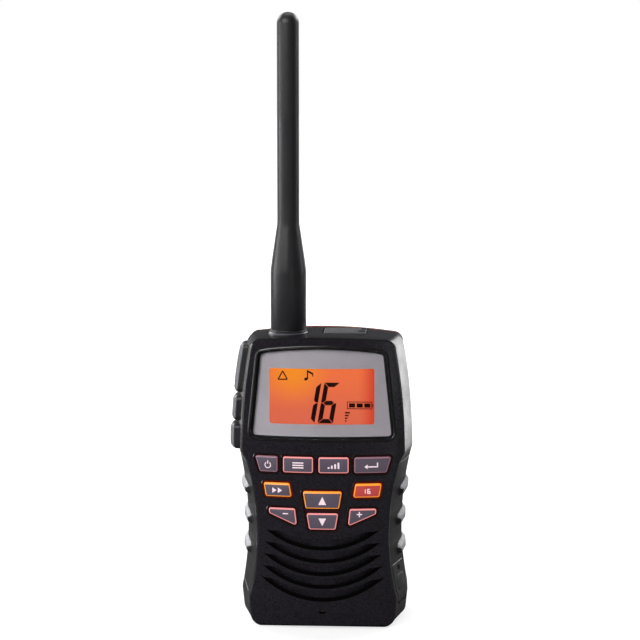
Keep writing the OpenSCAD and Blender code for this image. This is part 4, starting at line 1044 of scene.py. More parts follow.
@dataclass
class Display:
    """Window, printed frame, seal, screen and its segments."""

    centre_x: float = -0.35
    foot_half: float = 27.4
    top_half: float = 24.2
    foot_z: float = 77.9
    height: float = 34.8
    arch: float = 144.0
    corner: float = 1.2
    sunk: float = 1.0
    pane: float = 1.5
    frame: float = 0.2
    slope: float = 0.7
    seal_gap: float = 0.5
    screen_low: Point = (-21.05, 82.6)
    screen_high: Point = (20.35, 104.95)
    screen_y: float = -15.0
    screen_back_y: float = -13.4
    screen_margin: float = 2.2
    screen_corner: float = 0.9
    through: tuple[Point, ...] = ((0.0, 2.0), (0.0, -6.0))
    digit_low: Point = (-2.15, 82.65)
    digit_size: Point = (6.1, 16.4)
    stroke: float = 1.75
    digit_gap: float = 0.14
    lean: float = 0.17

    @property
    def outline(self) -> Outline:
        """Outline of the window, with its arched top."""
        top = self.foot_z + self.height
        corner_z = top - drop(self.top_half, self.arch)
        slant = math.degrees(math.atan2(self.foot_half - self.top_half, self.height))
        bend = math.degrees(math.asin((self.top_half - self.corner) / self.arch))
        half = arc((self.foot_half - self.corner, self.foot_z + self.corner), self.corner, -90, slant, 5)
        half += arc((self.top_half - self.corner, corner_z - self.corner), self.corner, slant, 90 - bend, 5)
        half += arc((0.0, top - self.arch), self.arch, 90 - bend, 90, 12)[1:-1]
        whole = half + [(-u, v) for u, v in reversed(half)]
        return resampled([(u + self.centre_x, v) for u, v in whole], 2.5)

    @property
    def seat(self) -> float:
        """Depth of the ledge that the window and its frame lie on."""
        return self.sunk + self.pane + self.frame

    def lip(self, bm: BMesh) -> None:
        """Adds the raised lip round the window's pocket."""
        wide = self.seal_gap + self.slope
        pad(bm, CROWN, self.outline, [(wide + 1.0, -0.6), (wide + 1.0, -0.03), (wide + 0.46, 0.35),
                                      (wide + 0.32, 0.39), (wide + 0.1, 0.39)], Tag.BEZEL)

    def pocket(self, bm: BMesh) -> None:
        """Adds the cut for the window, with its sloped rim."""
        gap, wide = self.seal_gap, self.seal_gap + self.slope
        pad(bm, CROWN, self.outline, [(wide + 0.3, 4.0), (wide + 0.3, 0.4), (wide + 0.12, 0.16),
                                      (wide - 0.12, -0.02), (gap + 0.12, -self.sunk + 0.1),
                                      (gap, -self.sunk - 0.05), (gap, -self.seat)], Tag.BEZEL)

    def opening(self, bm: BMesh) -> None:
        """Adds the cut for the screen behind the window."""
        grow = self.screen_margin + 0.3
        pad(bm, CROWN, rectangle(self.screen_low, self.screen_high), [(grow, -self.sunk), (grow, -9.0)])

    def build(self, palette: Palette) -> None:
        """Makes the display's pieces."""
        top, edge = -self.sunk, 0.25
        pane = padded(CROWN, self.outline, [(0.0, top - self.pane), (0.0, top - edge), (-edge, top)])
        publish("clear_window", pane, [palette.pane], replaces=["display_window"])

        screen = rectangle(self.screen_low, self.screen_high)
        frame = padded(CROWN, self.outline, [(0.0, -self.seat), (0.0, -self.seat + self.frame - 0.01)])
        hole = padded(CROWN, resampled(rounded(screen, self.screen_corner), 3.0), self.through)
        publish("silver_frame", combine(frame, hole, Join.CUT), [palette.mask],
                replaces=["display_mask"])

        gap = self.seal_gap - 0.05
        seal = padded(CROWN, self.outline, [(gap, -self.seat + 0.05), (gap, top - 0.35),
                                            (gap - 0.12, top - 0.2)])
        hole = padded(CROWN, offset(self.outline, 0.05), self.through)
        publish("window_seal", combine(seal, hole, Join.CUT), [palette.seal],
                replaces=["display_seal"])

        margin, edge = self.screen_margin, 0.15
        face = PlainFace(1, self.screen_y, -1)
        thick = self.screen_back_y - self.screen_y
        panel = padded(face, screen, [(margin, -thick), (margin, -edge), (margin - edge, 0.0)])
        publish("lit_screen", panel, [palette.screen], replaces=["lcd_panel"])
        self._segments(palette, face)

    def _segments(self, palette: Palette, face: Face) -> None:
        """Makes the lit segments and the small plain icons of the screen."""
        (left, low), size, form = self.digit_low, self.digit_size, (self.stroke, self.digit_gap, self.lean)
        shapes = digit((left, low), size, *form, "afgedc")
        shapes += digit((left - size[0] - 1.2, low), size, *form, "bc")
        shapes += [rectangle((10.3 + 3.02 * k, 89.15), (12.7 + 3.02 * k, 90.8)) for k in range(3)]
        shapes += [rectangle((19.45, 89.5), (19.85, 90.5))]
        shapes += [rectangle((8.7, 83.4 + 1.1 * k), (9.3 + 0.45 * k, 84.0 + 1.1 * k)) for k in range(4)]
        note = [(-6.3, 100.3), (-5.8, 100.3), (-5.8, 103.1), (-4.2, 102.2), (-4.2, 101.5), (-3.8, 101.4),
                (-3.8, 102.8), (-6.3, 104.1)]
        shapes += [note, disc((-6.75, 100.4), 0.62, 16)]
        raised = [(0.0, 0.01), (0.0, 0.06)]
        bm = bmesh.new()
        for shape in shapes:
            pad(bm, face, shape, raised)
        sign, box = [(-18.05, 100.0), (-13.65, 100.0), (-15.85, 104.1)], rectangle((9.5, 88.5), (19.4, 91.5))
        frames = [(rounded(sign, 0.35, 3), offset(sign, -0.48)), (box, offset(box, -0.28))]
        for shape, hollow in frames:
            ring = as_object("ring", combine(padded(face, shape, raised), padded(
                face, hollow, [(0.0, -1.0), (0.0, 1.0)]), Join.CUT))
            bm.from_mesh(ring.data)
            bpy.data.objects.remove(ring)
        publish("screen_segments", bm, [palette.segment])


# ---- keys


class KeyRim(Enum):
    """Colour of the lit rim of a key."""

    DIM = "dim"
    PINK = "pink"
    AMBER = "amber"


@dataclass
class KeyForm:
    """One key: its corners, its rim and cap, and the plain signs on it."""

    node: str
    corners: Outline
    rim: KeyRim
    signs: list[Outline]
    red: bool = False

    @property
    def outline(self) -> Outline:
        """The rounded outline of the key."""
        return resampled(rounded(self.corners, 0.8), 1.6)

    @property
    def inner(self) -> Outline:
        """Outline of the cap inside the rim, which is widest along the top."""
        top = max(v for _, v in self.corners)
        wide = 0.82 if self.rim is KeyRim.AMBER else 0.56
        return [(u, min(v, top - wide)) for u, v in offset(self.outline, -0.42)]


@dataclass
class Keypad:
    """The ten keys and their pockets in the housing."""

    slant: float = 2.0
    row_1: Point = (63.5, 69.9)
    row_2: Point = (53.6, 59.2)
    memory_x: float = -15.6
    key_w: float = 11.9
    space: float = 2.2
    power_w: float = 9.1
    enter_w: float = 14.7
    pair_x: float = 13.1
    pair_w: float = 10.4
    pair_slant: float = 0.95
    volume_x: float = 10.9
    volume_w: float = 10.5
    volume_z: Point = (41.9, 49.0)
    volume_outer: float = 2.3
    volume_sign: Point = (14.7, 46.8)
    channel_half: float = 7.8
    taper: float = 0.165
    up_z: Point = (49.1, 56.1)
    down_z: Point = (40.6, 47.2)
    proud: float = 0.4
    border: float = 0.72
    lip: float = 0.34
    sunk: float = 0.9
    gap: float = 0.3
    foot: float = 3.4

    def _row(self, x: float, wide: float, left: float = 0.0, right: float = 0.0) -> Outline:
        """Returns a key of the top row, with slanted sides where they are given."""
        low, top = self.row_1
        return [(x + left, low), (x + wide - right, low), (x + wide, top), (x, top)]

    def _channel(self, heights: Point) -> Outline:
        """Returns a channel key, narrower towards its foot."""
        half = [self.channel_half - self.taper * (self.up_z[1] - z) for z in heights]
        return [(-half[0], heights[0]), (half[0], heights[0]), (half[1], heights[1]), (-half[1], heights[1])]

    @staticmethod
    def _bar(centre: Point, wide: float, tall: float) -> Outline:
        """Returns a small bar of a plain sign."""
        (u, v), half_w, half_h = centre, wide / 2, tall / 2
        return rectangle((u - half_w, v - half_h), (u + half_w, v + half_h))

    def keys(self) -> list[KeyForm]:
        """Returns the ten keys."""
        output_x = self.memory_x + self.key_w + self.space
        enter_x = output_x + self.key_w + self.space
        power_x = self.memory_x - self.space - self.power_w
        left, right, slant, (low, top) = self.pair_x, self.pair_x + self.pair_w, self.pair_slant, self.row_2
        pair = [(left - slant, low), (right - slant, low), (right, top), (left, top)]
        left, right, (low, top) = self.volume_x, self.volume_x + self.volume_w, self.volume_z
        volume = [(left - 0.8, low), (right - 0.2, top - self.volume_outer), (right, top), (left, top)]
        x, z = power_x + 5.2, 66.3
        power = [arc((x, z), 1.3, 125, 415, 20) + arc((x, z), 0.95, 415, 125, 20),
                 self._bar((x, z + 1.15), 0.36, 1.3)]
        x, z = self.memory_x + self.key_w / 2, 66.55
        memory = [self._bar((x, z + rise), 4.4, 0.5) for rise in (-0.98, 0.0, 0.98)]
        x += self.key_w + self.space
        output = [self._bar((x + 1.3 * (k - 1.5), z - 0.85 + 0.3 * k), 0.7, 0.7 + 0.6 * k) for k in range(4)]
        x, z = enter_x + 7.0, 66.4
        enter = [[(x - 3.0, z - 0.35), (x - 1.7, z - 1.3), (x - 1.7, z + 0.6)],
                 self._bar((x + 0.4, z - 0.35), 4.1, 0.5), self._bar((x + 2.2, z + 0.65), 0.5, 1.4)]
        x, z = -self.pair_x - self.pair_w / 2 + 0.4, 56.2
        scan = [[(x + step, z - 1.1), (x + step + 1.7, z), (x + step, z + 1.1)] for step in (-2.0, 0.2)]
        sixteen = [shape for x, lit in ((17.75, "afgedc"), (15.85, "bc"))
                   for shape in digit((x, 55.15), (1.3, 2.0), 0.38, 0.01, 0.0, lit)]
        up = [(-1.55, 50.7), (1.55, 50.7), (0.0, 54.0)]
        down = [(-1.5, 45.2), (0.0, 42.1), (1.5, 45.2)]
        row, amber, pink = self._row, KeyRim.AMBER, KeyRim.PINK
        minus, upright = self._bar(self.volume_sign, 2.1, 0.45), self._bar(self.volume_sign, 0.45, 2.1)
        return [
            KeyForm("key_power", row(power_x, self.power_w, self.slant), KeyRim.DIM, power),
            KeyForm("key_memory", row(self.memory_x, self.key_w), pink, memory),
            KeyForm("key_output", row(output_x, self.key_w), pink, output),
            KeyForm("key_enter", row(enter_x, self.enter_w, 0.0, self.slant), KeyRim.DIM, enter),
            KeyForm("key_scan", flipped(pair), amber, scan),
            KeyForm("key_sixteen", pair, amber, sixteen, red=True),
            KeyForm("key_up", self._channel(self.up_z), amber, [up]),
            KeyForm("key_down", self._channel(self.down_z), pink, [down]),
            KeyForm("key_volume_down", flipped(volume), pink, [flipped(minus)]),
            KeyForm("key_volume_up", volume, pink, [minus, upright]),
        ]

    def _pockets(self) -> list[tuple[Outline, Tag]]:
        """Returns the outlines that the sunk borders follow, with their tags; the channel keys share one."""
        own = [(key.outline, Tag.EMBER if key.rim is KeyRim.AMBER else Tag.DIM_EMBER) for key in self.keys()
               if key.node not in ("key_up", "key_down")]
        both = self._channel((self.down_z[0], self.up_z[1]))
        return own + [(resampled(rounded(both, 0.8), 1.6), Tag.DIM_EMBER)]

    def lips(self, bm: BMesh) -> None:
        """Adds the low lips round the pockets."""
        for outline, _ in self._pockets():
            wide = self.border + self.lip
            pad(bm, CROWN, outline, [(wide, -0.6), (wide, -0.02), (wide - 0.2, 0.17)], Tag.BEZEL)

    def pockets(self, bm: BMesh) -> None:
        """Adds the cuts for the sunk borders and the keys."""
        for outline, mark in self._pockets():
            wide = self.border
            # The pocket's lower wall and floor take the painted glow of the keys' backlight.
            pad(bm, CROWN, outline, [(wide + 0.3, 3.0), (wide + 0.3, 0.4), (wide, -0.02),
                                     (wide - 0.06, -0.4), (wide - 0.12, -self.sunk)],
                [Tag.RECESS] * 4 + [mark] * 2)

    def openings(self, bm: BMesh) -> None:
        """Adds the cuts that the keys come through."""
        for key in self.keys():
            pad(bm, CROWN, key.outline, [(self.gap, -self.sunk + 0.3), (self.gap, -9.0)], Tag.RECESS)

    def build(self, palette: Palette) -> None:
        """Makes the keys."""
        rims = {KeyRim.DIM: palette.dim, KeyRim.PINK: palette.pink, KeyRim.AMBER: palette.amber}
        for key in self.keys():
            bm = bmesh.new()
            outline, inner, proud = key.outline, key.inner, self.proud
            stack(bm, CROWN, [(outline, -self.foot), (outline, -0.12), (offset(outline, -0.1), 0.02),
                              (offset(inner, 0.1), proud - 0.06), (inner, proud - 0.02),
                              (offset(inner, -0.08), proud - 0.05), (offset(inner, -0.2), proud - 0.01)],
                  [3, 3, 0, 0, 0, 1, 1, 1])
            for sign in key.signs:
                pad(bm, CROWN, resampled(sign, 0.8), [(0.0, proud - 0.3), (0.0, proud + 0.015)], 2)
            cap = palette.red_cap if key.red else palette.cap
            amber = key.rim is KeyRim.AMBER
            # The key's sunk sides take the painted pocket glow.
            wall = palette.ember if amber else palette.dim_ember
            publish(f"{key.node}_cap", bm, [rims[key.rim], cap, palette.sign, wall], body=key.node,
                    replaces=[key.node], sharp=35.0)


# ---- grille


@dataclass
class Grille:
    """The gill louvres, the thinned wall behind them and the microphone slot."""

    count: int = 5
    pitch: float = 5.25
    top_z: float = 32.0
    radius: float = 36.0
    depth: float = 1.3
    rise: float = 0.2
    ramp: float = 4.3
    gutter: float = 1.3
    reach: float = 38.6
    wider: float = 1.05
    wall: float = 1.6
    speaker_radius: float = 14.5
    speaker_z: float = 24.5
    slot_z: float = 6.8
    slot_radius: float = 0.65

    def _louvre(self, k: int) -> list[list[Vector]]:
        """Returns the rings of a louvre's cut: a ramp that sinks to a gutter with a sharp lower edge."""
        steps, rings = 56, []
        centre_z = self.top_z + self.radius - self.pitch * k
        half = math.radians(self.reach + self.wider * k)
        for j in range(steps + 1):
            share = 2 * j / steps - 1
            turn = half * share - math.pi / 2
            tip = min(1.0, 0.04 + (1 - abs(share)) / 0.17)
            gutter = self.gutter * tip
            run = (self.ramp - (self.ramp - 1.9) * share * share) * tip
            depth = self.depth * (0.3 + 0.7 * tip)
            run += self.rise * (run - gutter) / depth
            corners = [(run, self.rise), (0.0, self.rise), (0.0, -depth), (gutter, -depth)]
            rings.append([CROWN.place((self.radius - back) * math.cos(turn),
                                      centre_z + (self.radius - back) * math.sin(turn), lift)
                          for back, lift in corners])
        return rings

    def louvres(self, bm: BMesh) -> None:
        """Adds the cut of each louvre; its gutter faces take the near-black painted shade."""
        for k in range(self.count):
            loops, bands = loft(bm, self._louvre(k))
            corner = {vert: place for loop in loops for place, vert in enumerate(loop)}
            for part in [part for band in bands for part in band]:
                # Painted shade: the gutter's floor and lower wall take the near-black finish.
                if {corner[vert] for vert in part.verts} in ({1, 2}, {2, 3}):
                    part.material_index = Tag.GUTTER
            for loop in (loops[0], loops[-1]):
                bm.faces.new(loop)

    def thinning(self, bm: BMesh) -> None:
        """Adds the thinned wall behind the louvres."""
        pad(bm, CROWN, disc((0.0, self.speaker_z), self.speaker_radius + 0.4, 64),
            [(0.0, -self.wall), (0.0, -FORM.wall - 2.0)], Tag.RECESS)

    def slot(self, bm: BMesh) -> None:
        """Adds the microphone slot."""
        r = self.slot_radius
        slot = arc((r, self.slot_z), r, -90, 90, 10) + arc((-r, self.slot_z), r, 90, 270, 10)
        # Painted shade: the slot's inner walls take the near-black finish.
        pad(bm, CROWN, slot, [(0.2, 1.0), (0.2, 0.2), (0.0, -0.1), (0.0, -FORM.wall - 1.0)],
            [Tag.RECESS] * 2 + [Tag.GUTTER] * 3)


# ---- sides


@dataclass
class Grips:
    """The ribbed rubber grips in the sides."""

    front_y: float = -14.446
    back_y: float = 8.6
    low_z: float = 12.1
    top_z: float = 66.6
    rise: float = 4.5
    thick: float = 1.3
    corner: float = 3.0
    ribs: int = 3
    rib_w: float = 4.6
    rib_pitch: float = 12.1
    rib_top_z: float = 54.6
    rib_lean: float = 0.35
    rib_h: float = 1.5
    rib_corner: float = 1.4
    rib_inset: Point = (9.3, 3.0)
    shoulder_in: Point = (1.0, 0.35)
    crest_in: Point = (1.5, 0.75)

    @property
    def outline(self) -> Outline:
        """Outline of the grips, by Y and Z."""
        corners = [(self.front_y, self.low_z), (self.back_y, self.low_z + self.rise),
                   (self.back_y, self.top_z), (self.front_y, self.top_z)]
        return resampled(rounded(corners, self.corner, 6), 2.0)

    @property
    def rib_ends(self) -> Point:
        """Depths of the front and the back of the ribs."""
        return self.front_y + self.rib_inset[0], self.back_y - self.rib_inset[1]

    def recess(self, bm: BMesh, face: Face) -> None:
        """Adds the cut that a grip lies in."""
        pad(bm, face, self.outline, [(0.25, 4.0), (0.25, 0.15), (0.05, -0.1), (0.05, -self.thick - 0.05)],
            Tag.GRIP_WALL)

    def _rib(self, k: int) -> Outline:
        """Returns the outline of a rib, which leans forwards as it goes down."""
        z = self.rib_top_z - self.rib_pitch * k
        front, back = self.rib_ends
        sink = self.rib_lean * (back - front) / 2
        half = self.rib_w / 2
        corners = [(front, z - sink - half), (back, z + sink - half), (back, z + sink + half),
                   (front, z - sink + half)]
        return resampled(rounded(corners, self.rib_corner, 5), 1.5)

    def _drawn_in(self, outline: Outline, top: float, rest: float) -> Outline:
        """Returns a rib's outline with its upper edge drawn in by one distance and the others by another."""
        us, middle = [u for u, _ in outline], sum(self.rib_ends) / 2
        low_u, high_u, made = min(us), max(us), []
        centre = sum(v - self.rib_lean * (u - middle) for u, v in outline) / len(outline)
        for u, v in outline:
            level = v - self.rib_lean * (u - middle) - centre
            share = (level + self.rib_w / 2) / self.rib_w
            shift = rest - (rest + top) * min(max(share, 0.0), 1.0)
            near = (u - low_u) / (high_u - low_u)
            moved = u + rest * 1.6 * (1 - near) - rest * near
            made.append((moved, v + shift + self.rib_lean * (moved - u)))
        return made

    def build(self, palette: Palette, cover: Outline) -> None:
        """Makes both grips.

        Args:
            palette: The finishes.
            cover: Outline of the side cover, which the right grip leaves free.
        """
        for name, face in (("grip_left", LEFT), ("grip_right", RIGHT)):
            bm = padded(face, self.outline, [(0.0, -self.thick), (0.0, -0.2), (-0.2, 0.0)])
            ribs = bmesh.new()
            for k in range(self.ribs):
                base = self._rib(k)
                shoulder, crest = (self._drawn_in(base, *by) for by in (self.shoulder_in, self.crest_in))
                stack(ribs, face, [(offset(base, 0.25), -0.6), (offset(base, 0.25), 0.0), (base, 0.2),
                                   (shoulder, self.rib_h * 0.75), (crest, self.rib_h)], [0, 0, 0, 1, 1, 1])
            bmesh.ops.recalc_face_normals(ribs, faces=ribs.faces[:])
            # Painted highlight: rib faces turned up or out keep the light grey finish; those turned back or
            # down go back to the dark grip rubber.
            for part in ribs.faces:
                if part.normal.y > 0.5 or part.normal.z < 0.12 and abs(part.normal.x) < 0.9:
                    part.material_index = 0
            bm = combine(bm, ribs, Join.ADD)
            if face is RIGHT:
                bm = combine(bm, padded(face, cover, [(0.3, 3.0), (0.3, -4.0)]), Join.CUT)
            publish(f"{name}_rubber", bm, [palette.grip, palette.rib], replaces=[name])


@dataclass
class SideButtons:
    """The talk button and the two small buttons on the left side."""

    front_y: float = -4.0
    back_y: float = 7.0
    talk: Point = (92.5, 112.2)
    upper: Point = (80.9, 91.1)
    lower: Point = (69.3, 79.5)
    proud: float = 2.6
    lower_proud: float = 3.0
    gap: float = 0.3
    foot: float = 3.4
    dots: tuple[int, int] = (9, 4)
    dot_pitch: float = 1.8
    dot_r: float = 0.5

    def _outline(self, heights: Point) -> Outline:
        """Returns the rounded outline of a button."""
        return plate((self.front_y, heights[0]), (self.back_y, heights[1]), 1.7, 1.6, 5)

    def holes(self, bm: BMesh) -> None:
        """Adds the cuts in the side wall."""
        for heights in (self.talk, self.upper, self.lower):
            hole = plate((self.front_y, heights[0]), (self.back_y, heights[1]), 0.6, 2.0)
            pad(bm, LEFT, hole, [(self.gap + 0.3, 5.0), (self.gap + 0.3, 0.1), (self.gap, -0.2),
                                 (self.gap, -3.6)], Tag.RECESS)

    def build(self, palette: Palette) -> None:
        """Makes the three buttons, with raised dots on the talk button."""
        forms = (("talk_button", self.talk, self.proud), ("side_button_upper", self.upper, self.proud),
                 ("side_button_lower", self.lower, self.lower_proud))
        for node, heights, proud in forms:
            bm = bmesh.new()
            outline, mid = self._outline(heights), (self.front_y + self.back_y) / 2
            crest = [(mid + (u - mid) * 0.72, v) for u, v in offset(outline, -1.5)]
            # Painted highlight: the outer bevel and the crest take the lighter grey finish.
            stack(bm, LEFT, [(outline, -self.foot), (outline, proud - 1.5),
                             (offset(outline, -0.22), proud - 0.95), (offset(outline, -0.75), proud - 0.35),
                             (crest, proud)], [0, 0, 0, 1, 1, 1])
            if node == "talk_button":
                self._dots(bm, mid, heights)
            publish(f"{node}_rubber", bm, [palette.button, palette.button_top], body=node,
                    replaces=[node], sharp=40.0)

    def _dots(self, bm: BMesh, mid: float, heights: Point) -> None:
        """Adds the raised dots of the talk button."""
        plain_faces, (rows, columns) = len(bm.faces), self.dots
        low, high = heights[0] + 4.2, heights[1] - 4.2
        for k in range(rows * columns):
            u = mid + self.dot_pitch * (k % columns - (columns - 1) / 2)
            at = LEFT.place(u, low + (high - low) * (k // columns) / (rows - 1), self.proud - 0.05)
            flat = Matrix.Translation(at) @ Matrix.Scale(0.62, 4, (1, 0, 0))
            bmesh.ops.create_icosphere(bm, subdivisions=1, radius=self.dot_r, matrix=flat)
        # Painted highlight: the raised dots take the lighter grey finish too.
        bm.faces.ensure_lookup_table()
        for part in bm.faces[plain_faces:]:
            part.material_index = 1


# ---- antenna


@dataclass
class Antenna:
    """The rubber-covered whip and the flared collar that it stands in."""

    x: float = -14.3
    y: float = -4.0
    foot_z: float = 117.8
    tip_z: float = 243.8
    foot_r: float = 7.1
    whip_r: float = 4.35
    taper: Point = (142.6, 161.0)
    stud_r: float = 3.05
    seat_r: float = 8.0
    seat_z: float = 116.0
    bead: tuple[Point, ...] = ((0.12, 0.0), (0.3, 0.15), (0.3, 0.5), (0.12, 0.66), (-0.18, 0.68),
                               (-0.22, 0.86), (-0.08, 0.98), (0.0, 1.15))

    def seat(self, bm: BMesh) -> None:
        """Adds the cut for the collar."""
        self.upright(bm, self.seat_z, 126.0, self.seat_r + 0.05, 64)

    def hole(self, bm: BMesh) -> None:
        """Adds the cut for the stud."""
        self.upright(bm, 106.0, 122.0, self.stud_r + 0.05, 48)

    def upright(self, bm: BMesh, low: float, high: float, radius: float, segments: int) -> None:
        """Adds a cylinder about the antenna's axis between two heights."""
        rod(bm, Vector((self.x, self.y, low)), Vector((self.x, self.y, high)), radius, segments)

    def build(self, palette: Palette) -> None:
        """Makes the whip and its collar."""
        centre = Vector((self.x, self.y, 0.0))
        r, z, w = self.foot_r, self.foot_z, self.whip_r
        low, high = self.taper
        profile = [(0.0, z + 12), (self.stud_r, z + 12), (self.stud_r, z)]
        profile += [(r + dr, z + dz) for dr, dz in self.bead]
        profile += [(r, low - 1.6), (r - 0.03, low - 0.6), (r - 0.12, low + 0.3), (r - 0.3, low + 1.6)]
        profile += [(r - (r - w) * t, low + (high - low) * t) for t in (0.25, 0.5, 0.75, 0.9)]
        profile += [(w + 0.06, high - 0.5), (w + 0.015, high + 0.8), (w, high + 2.2)]
        profile += [(w, high + (self.tip_z - w - high) * t) for t in (0.3, 0.6, 1.0)]
        profile += arc((0.0, self.tip_z - w), w, 0, 90, 10)[1:-1] + [(0.0, self.tip_z)]
        bm = bmesh.new()
        turned(bm, profile, centre, Z, 72)
        publish("antenna_rubber_whip", bm, [palette.antenna], replaces=["antenna_whip"],
                sharp=40.0)

        s, low_z = self.seat_r, self.seat_z
        ring = [(self.stud_r, low_z), (s - 0.1, low_z), (s, low_z + 0.1), (s, low_z + 0.95),
                (s - 0.12, low_z + 1.2), (s - 0.35, low_z + 1.45), (r + 0.42, z - 0.12), (r + 0.3, z - 0.02),
                (r + 0.1, z), (self.stud_r, z), (self.stud_r, low_z)]
        bm = bmesh.new()
        turned(bm, ring, centre, Z, 72)
        publish("antenna_collar", bm, [palette.collar], replaces=["antenna_seat"], sharp=40.0)


# ---- jack covers


@dataclass
class TopCover:
    """The textured rubber flap over the audio jacks."""

    low: Point = (-0.4, -8.6)
    high: Point = (16.6, 5.0)
    top_z: float = 117.8
    thick: float = 1.8
    gap: float = 0.3
    jack_x: Point = (4.6, 11.6)
    jack_y: float = -1.8
    nose_r: float = 2.5
    pad_z: float = 113.0
    pad_top: float = 116.1
    ridges: int = 11
    ridge_pitch: float = 0.95
    ridge_w: float = 0.42
    ridge_in: Point = (2.6, 1.8)
    bracket_in: float = 3.0
    bracket_half: float = 3.4
    bar: float = 0.9
    body: str = "top_jack_cover"

    def support(self, bm: BMesh, antenna: Antenna) -> None:
        """Adds the thickened ceiling under the cover and the antenna."""
        level = PlainFace(2, self.pad_top)
        pad(bm, level, rectangle(self.low, self.high), [(1.6, self.pad_z - self.pad_top), (1.6, 0.0)])
        antenna.upright(bm, self.pad_z, self.pad_top, 8.6, 48)

    def pocket(self, bm: BMesh) -> None:
        """Adds the cut for the cover."""
        level = PlainFace(2, self.top_z)
        pad(bm, level, plate(self.low, self.high, 0.7, 2.0),
            [(self.gap, 8.0), (self.gap, -self.thick - 0.3)], Tag.RECESS)

    def holes(self, bm: BMesh) -> None:
        """Adds the cuts for the jacks."""
        for x in self.jack_x:
            low, top = (Vector((x, self.jack_y, z)) for z in (self.pad_z - 2, 122))
            rod(bm, low, top, self.nose_r + 0.1, 40)

    def build(self, palette: Palette) -> None:
        """Makes the flap with its rolled hinge, ribbed field and finger bracket."""
        level = PlainFace(2, self.top_z)
        roll = self.thick / 2
        hinge = self.low[0] + roll
        ends = along_y(hinge, (self.low[1] + 0.15, self.high[1] - 0.15), self.top_z - roll)
        bm = padded(level, plate((hinge, self.low[1]), self.high, 0.6, 2.0),
                    [(0.0, -self.thick), (0.0, -0.25), (-0.22, 0.0)])
        rod(bm, *ends, roll - 0.01, 32)
        for k in range(self.ridges):
            x = self.low[0] + self.ridge_in[0] + self.ridge_pitch * k
            low, high = self.low[1] + self.ridge_in[1], self.high[1] - self.ridge_in[1]
            pad(bm, level, rectangle((x, low), (x + self.ridge_w, high)),
                [(0.0, -0.2), (0.0, 0.05), (-0.1, 0.16)])
        x, y, bar, half = self.high[0] - self.bracket_in, self.jack_y, self.bar, self.bracket_half
        arms = [((x + 0.4, y + side), (self.high[0] - 0.05, y + side + bar)) for side in (-half, half - bar)]
        for low, high in [((x, y - half), (x + bar, y + half)), *arms]:
            pad(bm, level, rounded(rectangle(low, high), 0.3), [(0.0, -0.3), (0.0, 0.45), (-0.15, 0.6)])
        publish("top_jack_flap", bm, [palette.flap], body=self.body, replaces=[self.body],
                sharp=35.0)


@dataclass
class SideCover:
    """The rubber flap over the charging jack, low on the right side."""

    front_y: float = -13.15
    back_y: float = 0.65
    low_z: float = 8.4
    hinge_z: float = 9.0
    top_z: float = 24.4
    thick: float = 1.05
    proud: float = 0.15
    hinge: Point = (31.035, -6.119)
    hinge_r: float = 0.6
    lean: float = 14.015
    charge_x: float = 29.15
    charge_z: float = 15.8
    charge_r: float = 3.1
    frame_in: float = 2.4
    frame_z: Point = (13.4, 19.6)
    dimple_r: float = 1.2
    dimple_down: float = 2.6
    dimple_deep: float = 0.55
    body: str = "side_jack_cover"

    def outline(self, low: float, radius: float = 1.2) -> Outline:
        """Returns the cover's outline from a height upwards."""
        return plate((self.front_y, low), (self.back_y, self.top_z), radius, 1.6, 5)

    @property
    def opening(self) -> Outline:
        """Outline of the pocket that the cover lies in, with tight corners that its foot can turn in."""
        return self.outline(self.low_z, 0.45)

    @property
    def aim(self) -> Vector:
        """Direction square to the flared face."""
        turn = math.radians(self.lean)
        return Vector((math.cos(turn), -math.sin(turn), 0.0))

    def _bead(self, bm: BMesh, radius: float, length: float) -> None:
        """Adds the hinge bead along the cover's foot."""
        turn = math.radians(self.lean)
        along = Vector((math.sin(turn), math.cos(turn), 0.0)) * (length / 2)
        middle = Vector((self.hinge[0], self.hinge[1], self.hinge_z))
        rod(bm, middle - along, middle + along, radius, 24)

    def pocket(self, bm: BMesh) -> None:
        """Adds the cut for the cover."""
        pad(bm, RIGHT, self.opening, [(0.3, 4.0), (0.3, -1.35)], Tag.RECESS)

    def holes(self, bm: BMesh) -> None:
        """Adds the cuts for the hinge and the charging jack."""
        self._bead(bm, self.hinge_r + 0.3, self.back_y - self.front_y)
        middle = Vector((self.charge_x, self.hinge[1], self.charge_z))
        rod(bm, middle - self.aim * 6, middle + self.aim * 6, self.charge_r, 48)

    def build(self, palette: Palette) -> None:
        """Makes the flap with its groove and thumb dimple."""
        bm = padded(RIGHT, self.outline(self.hinge_z),
                    [(0.0, -self.thick), (0.0, -0.1), (-0.25, self.proud)])
        cuts = bmesh.new()
        dimple = RIGHT.place((self.front_y + self.back_y) / 2, self.top_z - self.dimple_down, 0.0)
        rod(cuts, dimple - self.aim * self.dimple_deep, dimple + self.aim * 3, self.dimple_r, 32, 2.2)
        bm = combine(bm, cuts, Join.CUT)
        self._bead(bm, self.hinge_r, self.back_y - self.front_y - 2)
        inset, (low, high) = self.frame_in, self.frame_z
        frame = plate((self.front_y + inset, low), (self.back_y - inset, high), 1.6, 1.6, 5)
        pad(bm, RIGHT, frame, [(0.0, -0.3), (0.0, self.proud + 0.12), (-0.35, self.proud + 0.3)])
        publish("side_jack_flap", bm, [palette.side_flap], body=self.body, replaces=[self.body],
                sharp=35.0)


# ---- housing


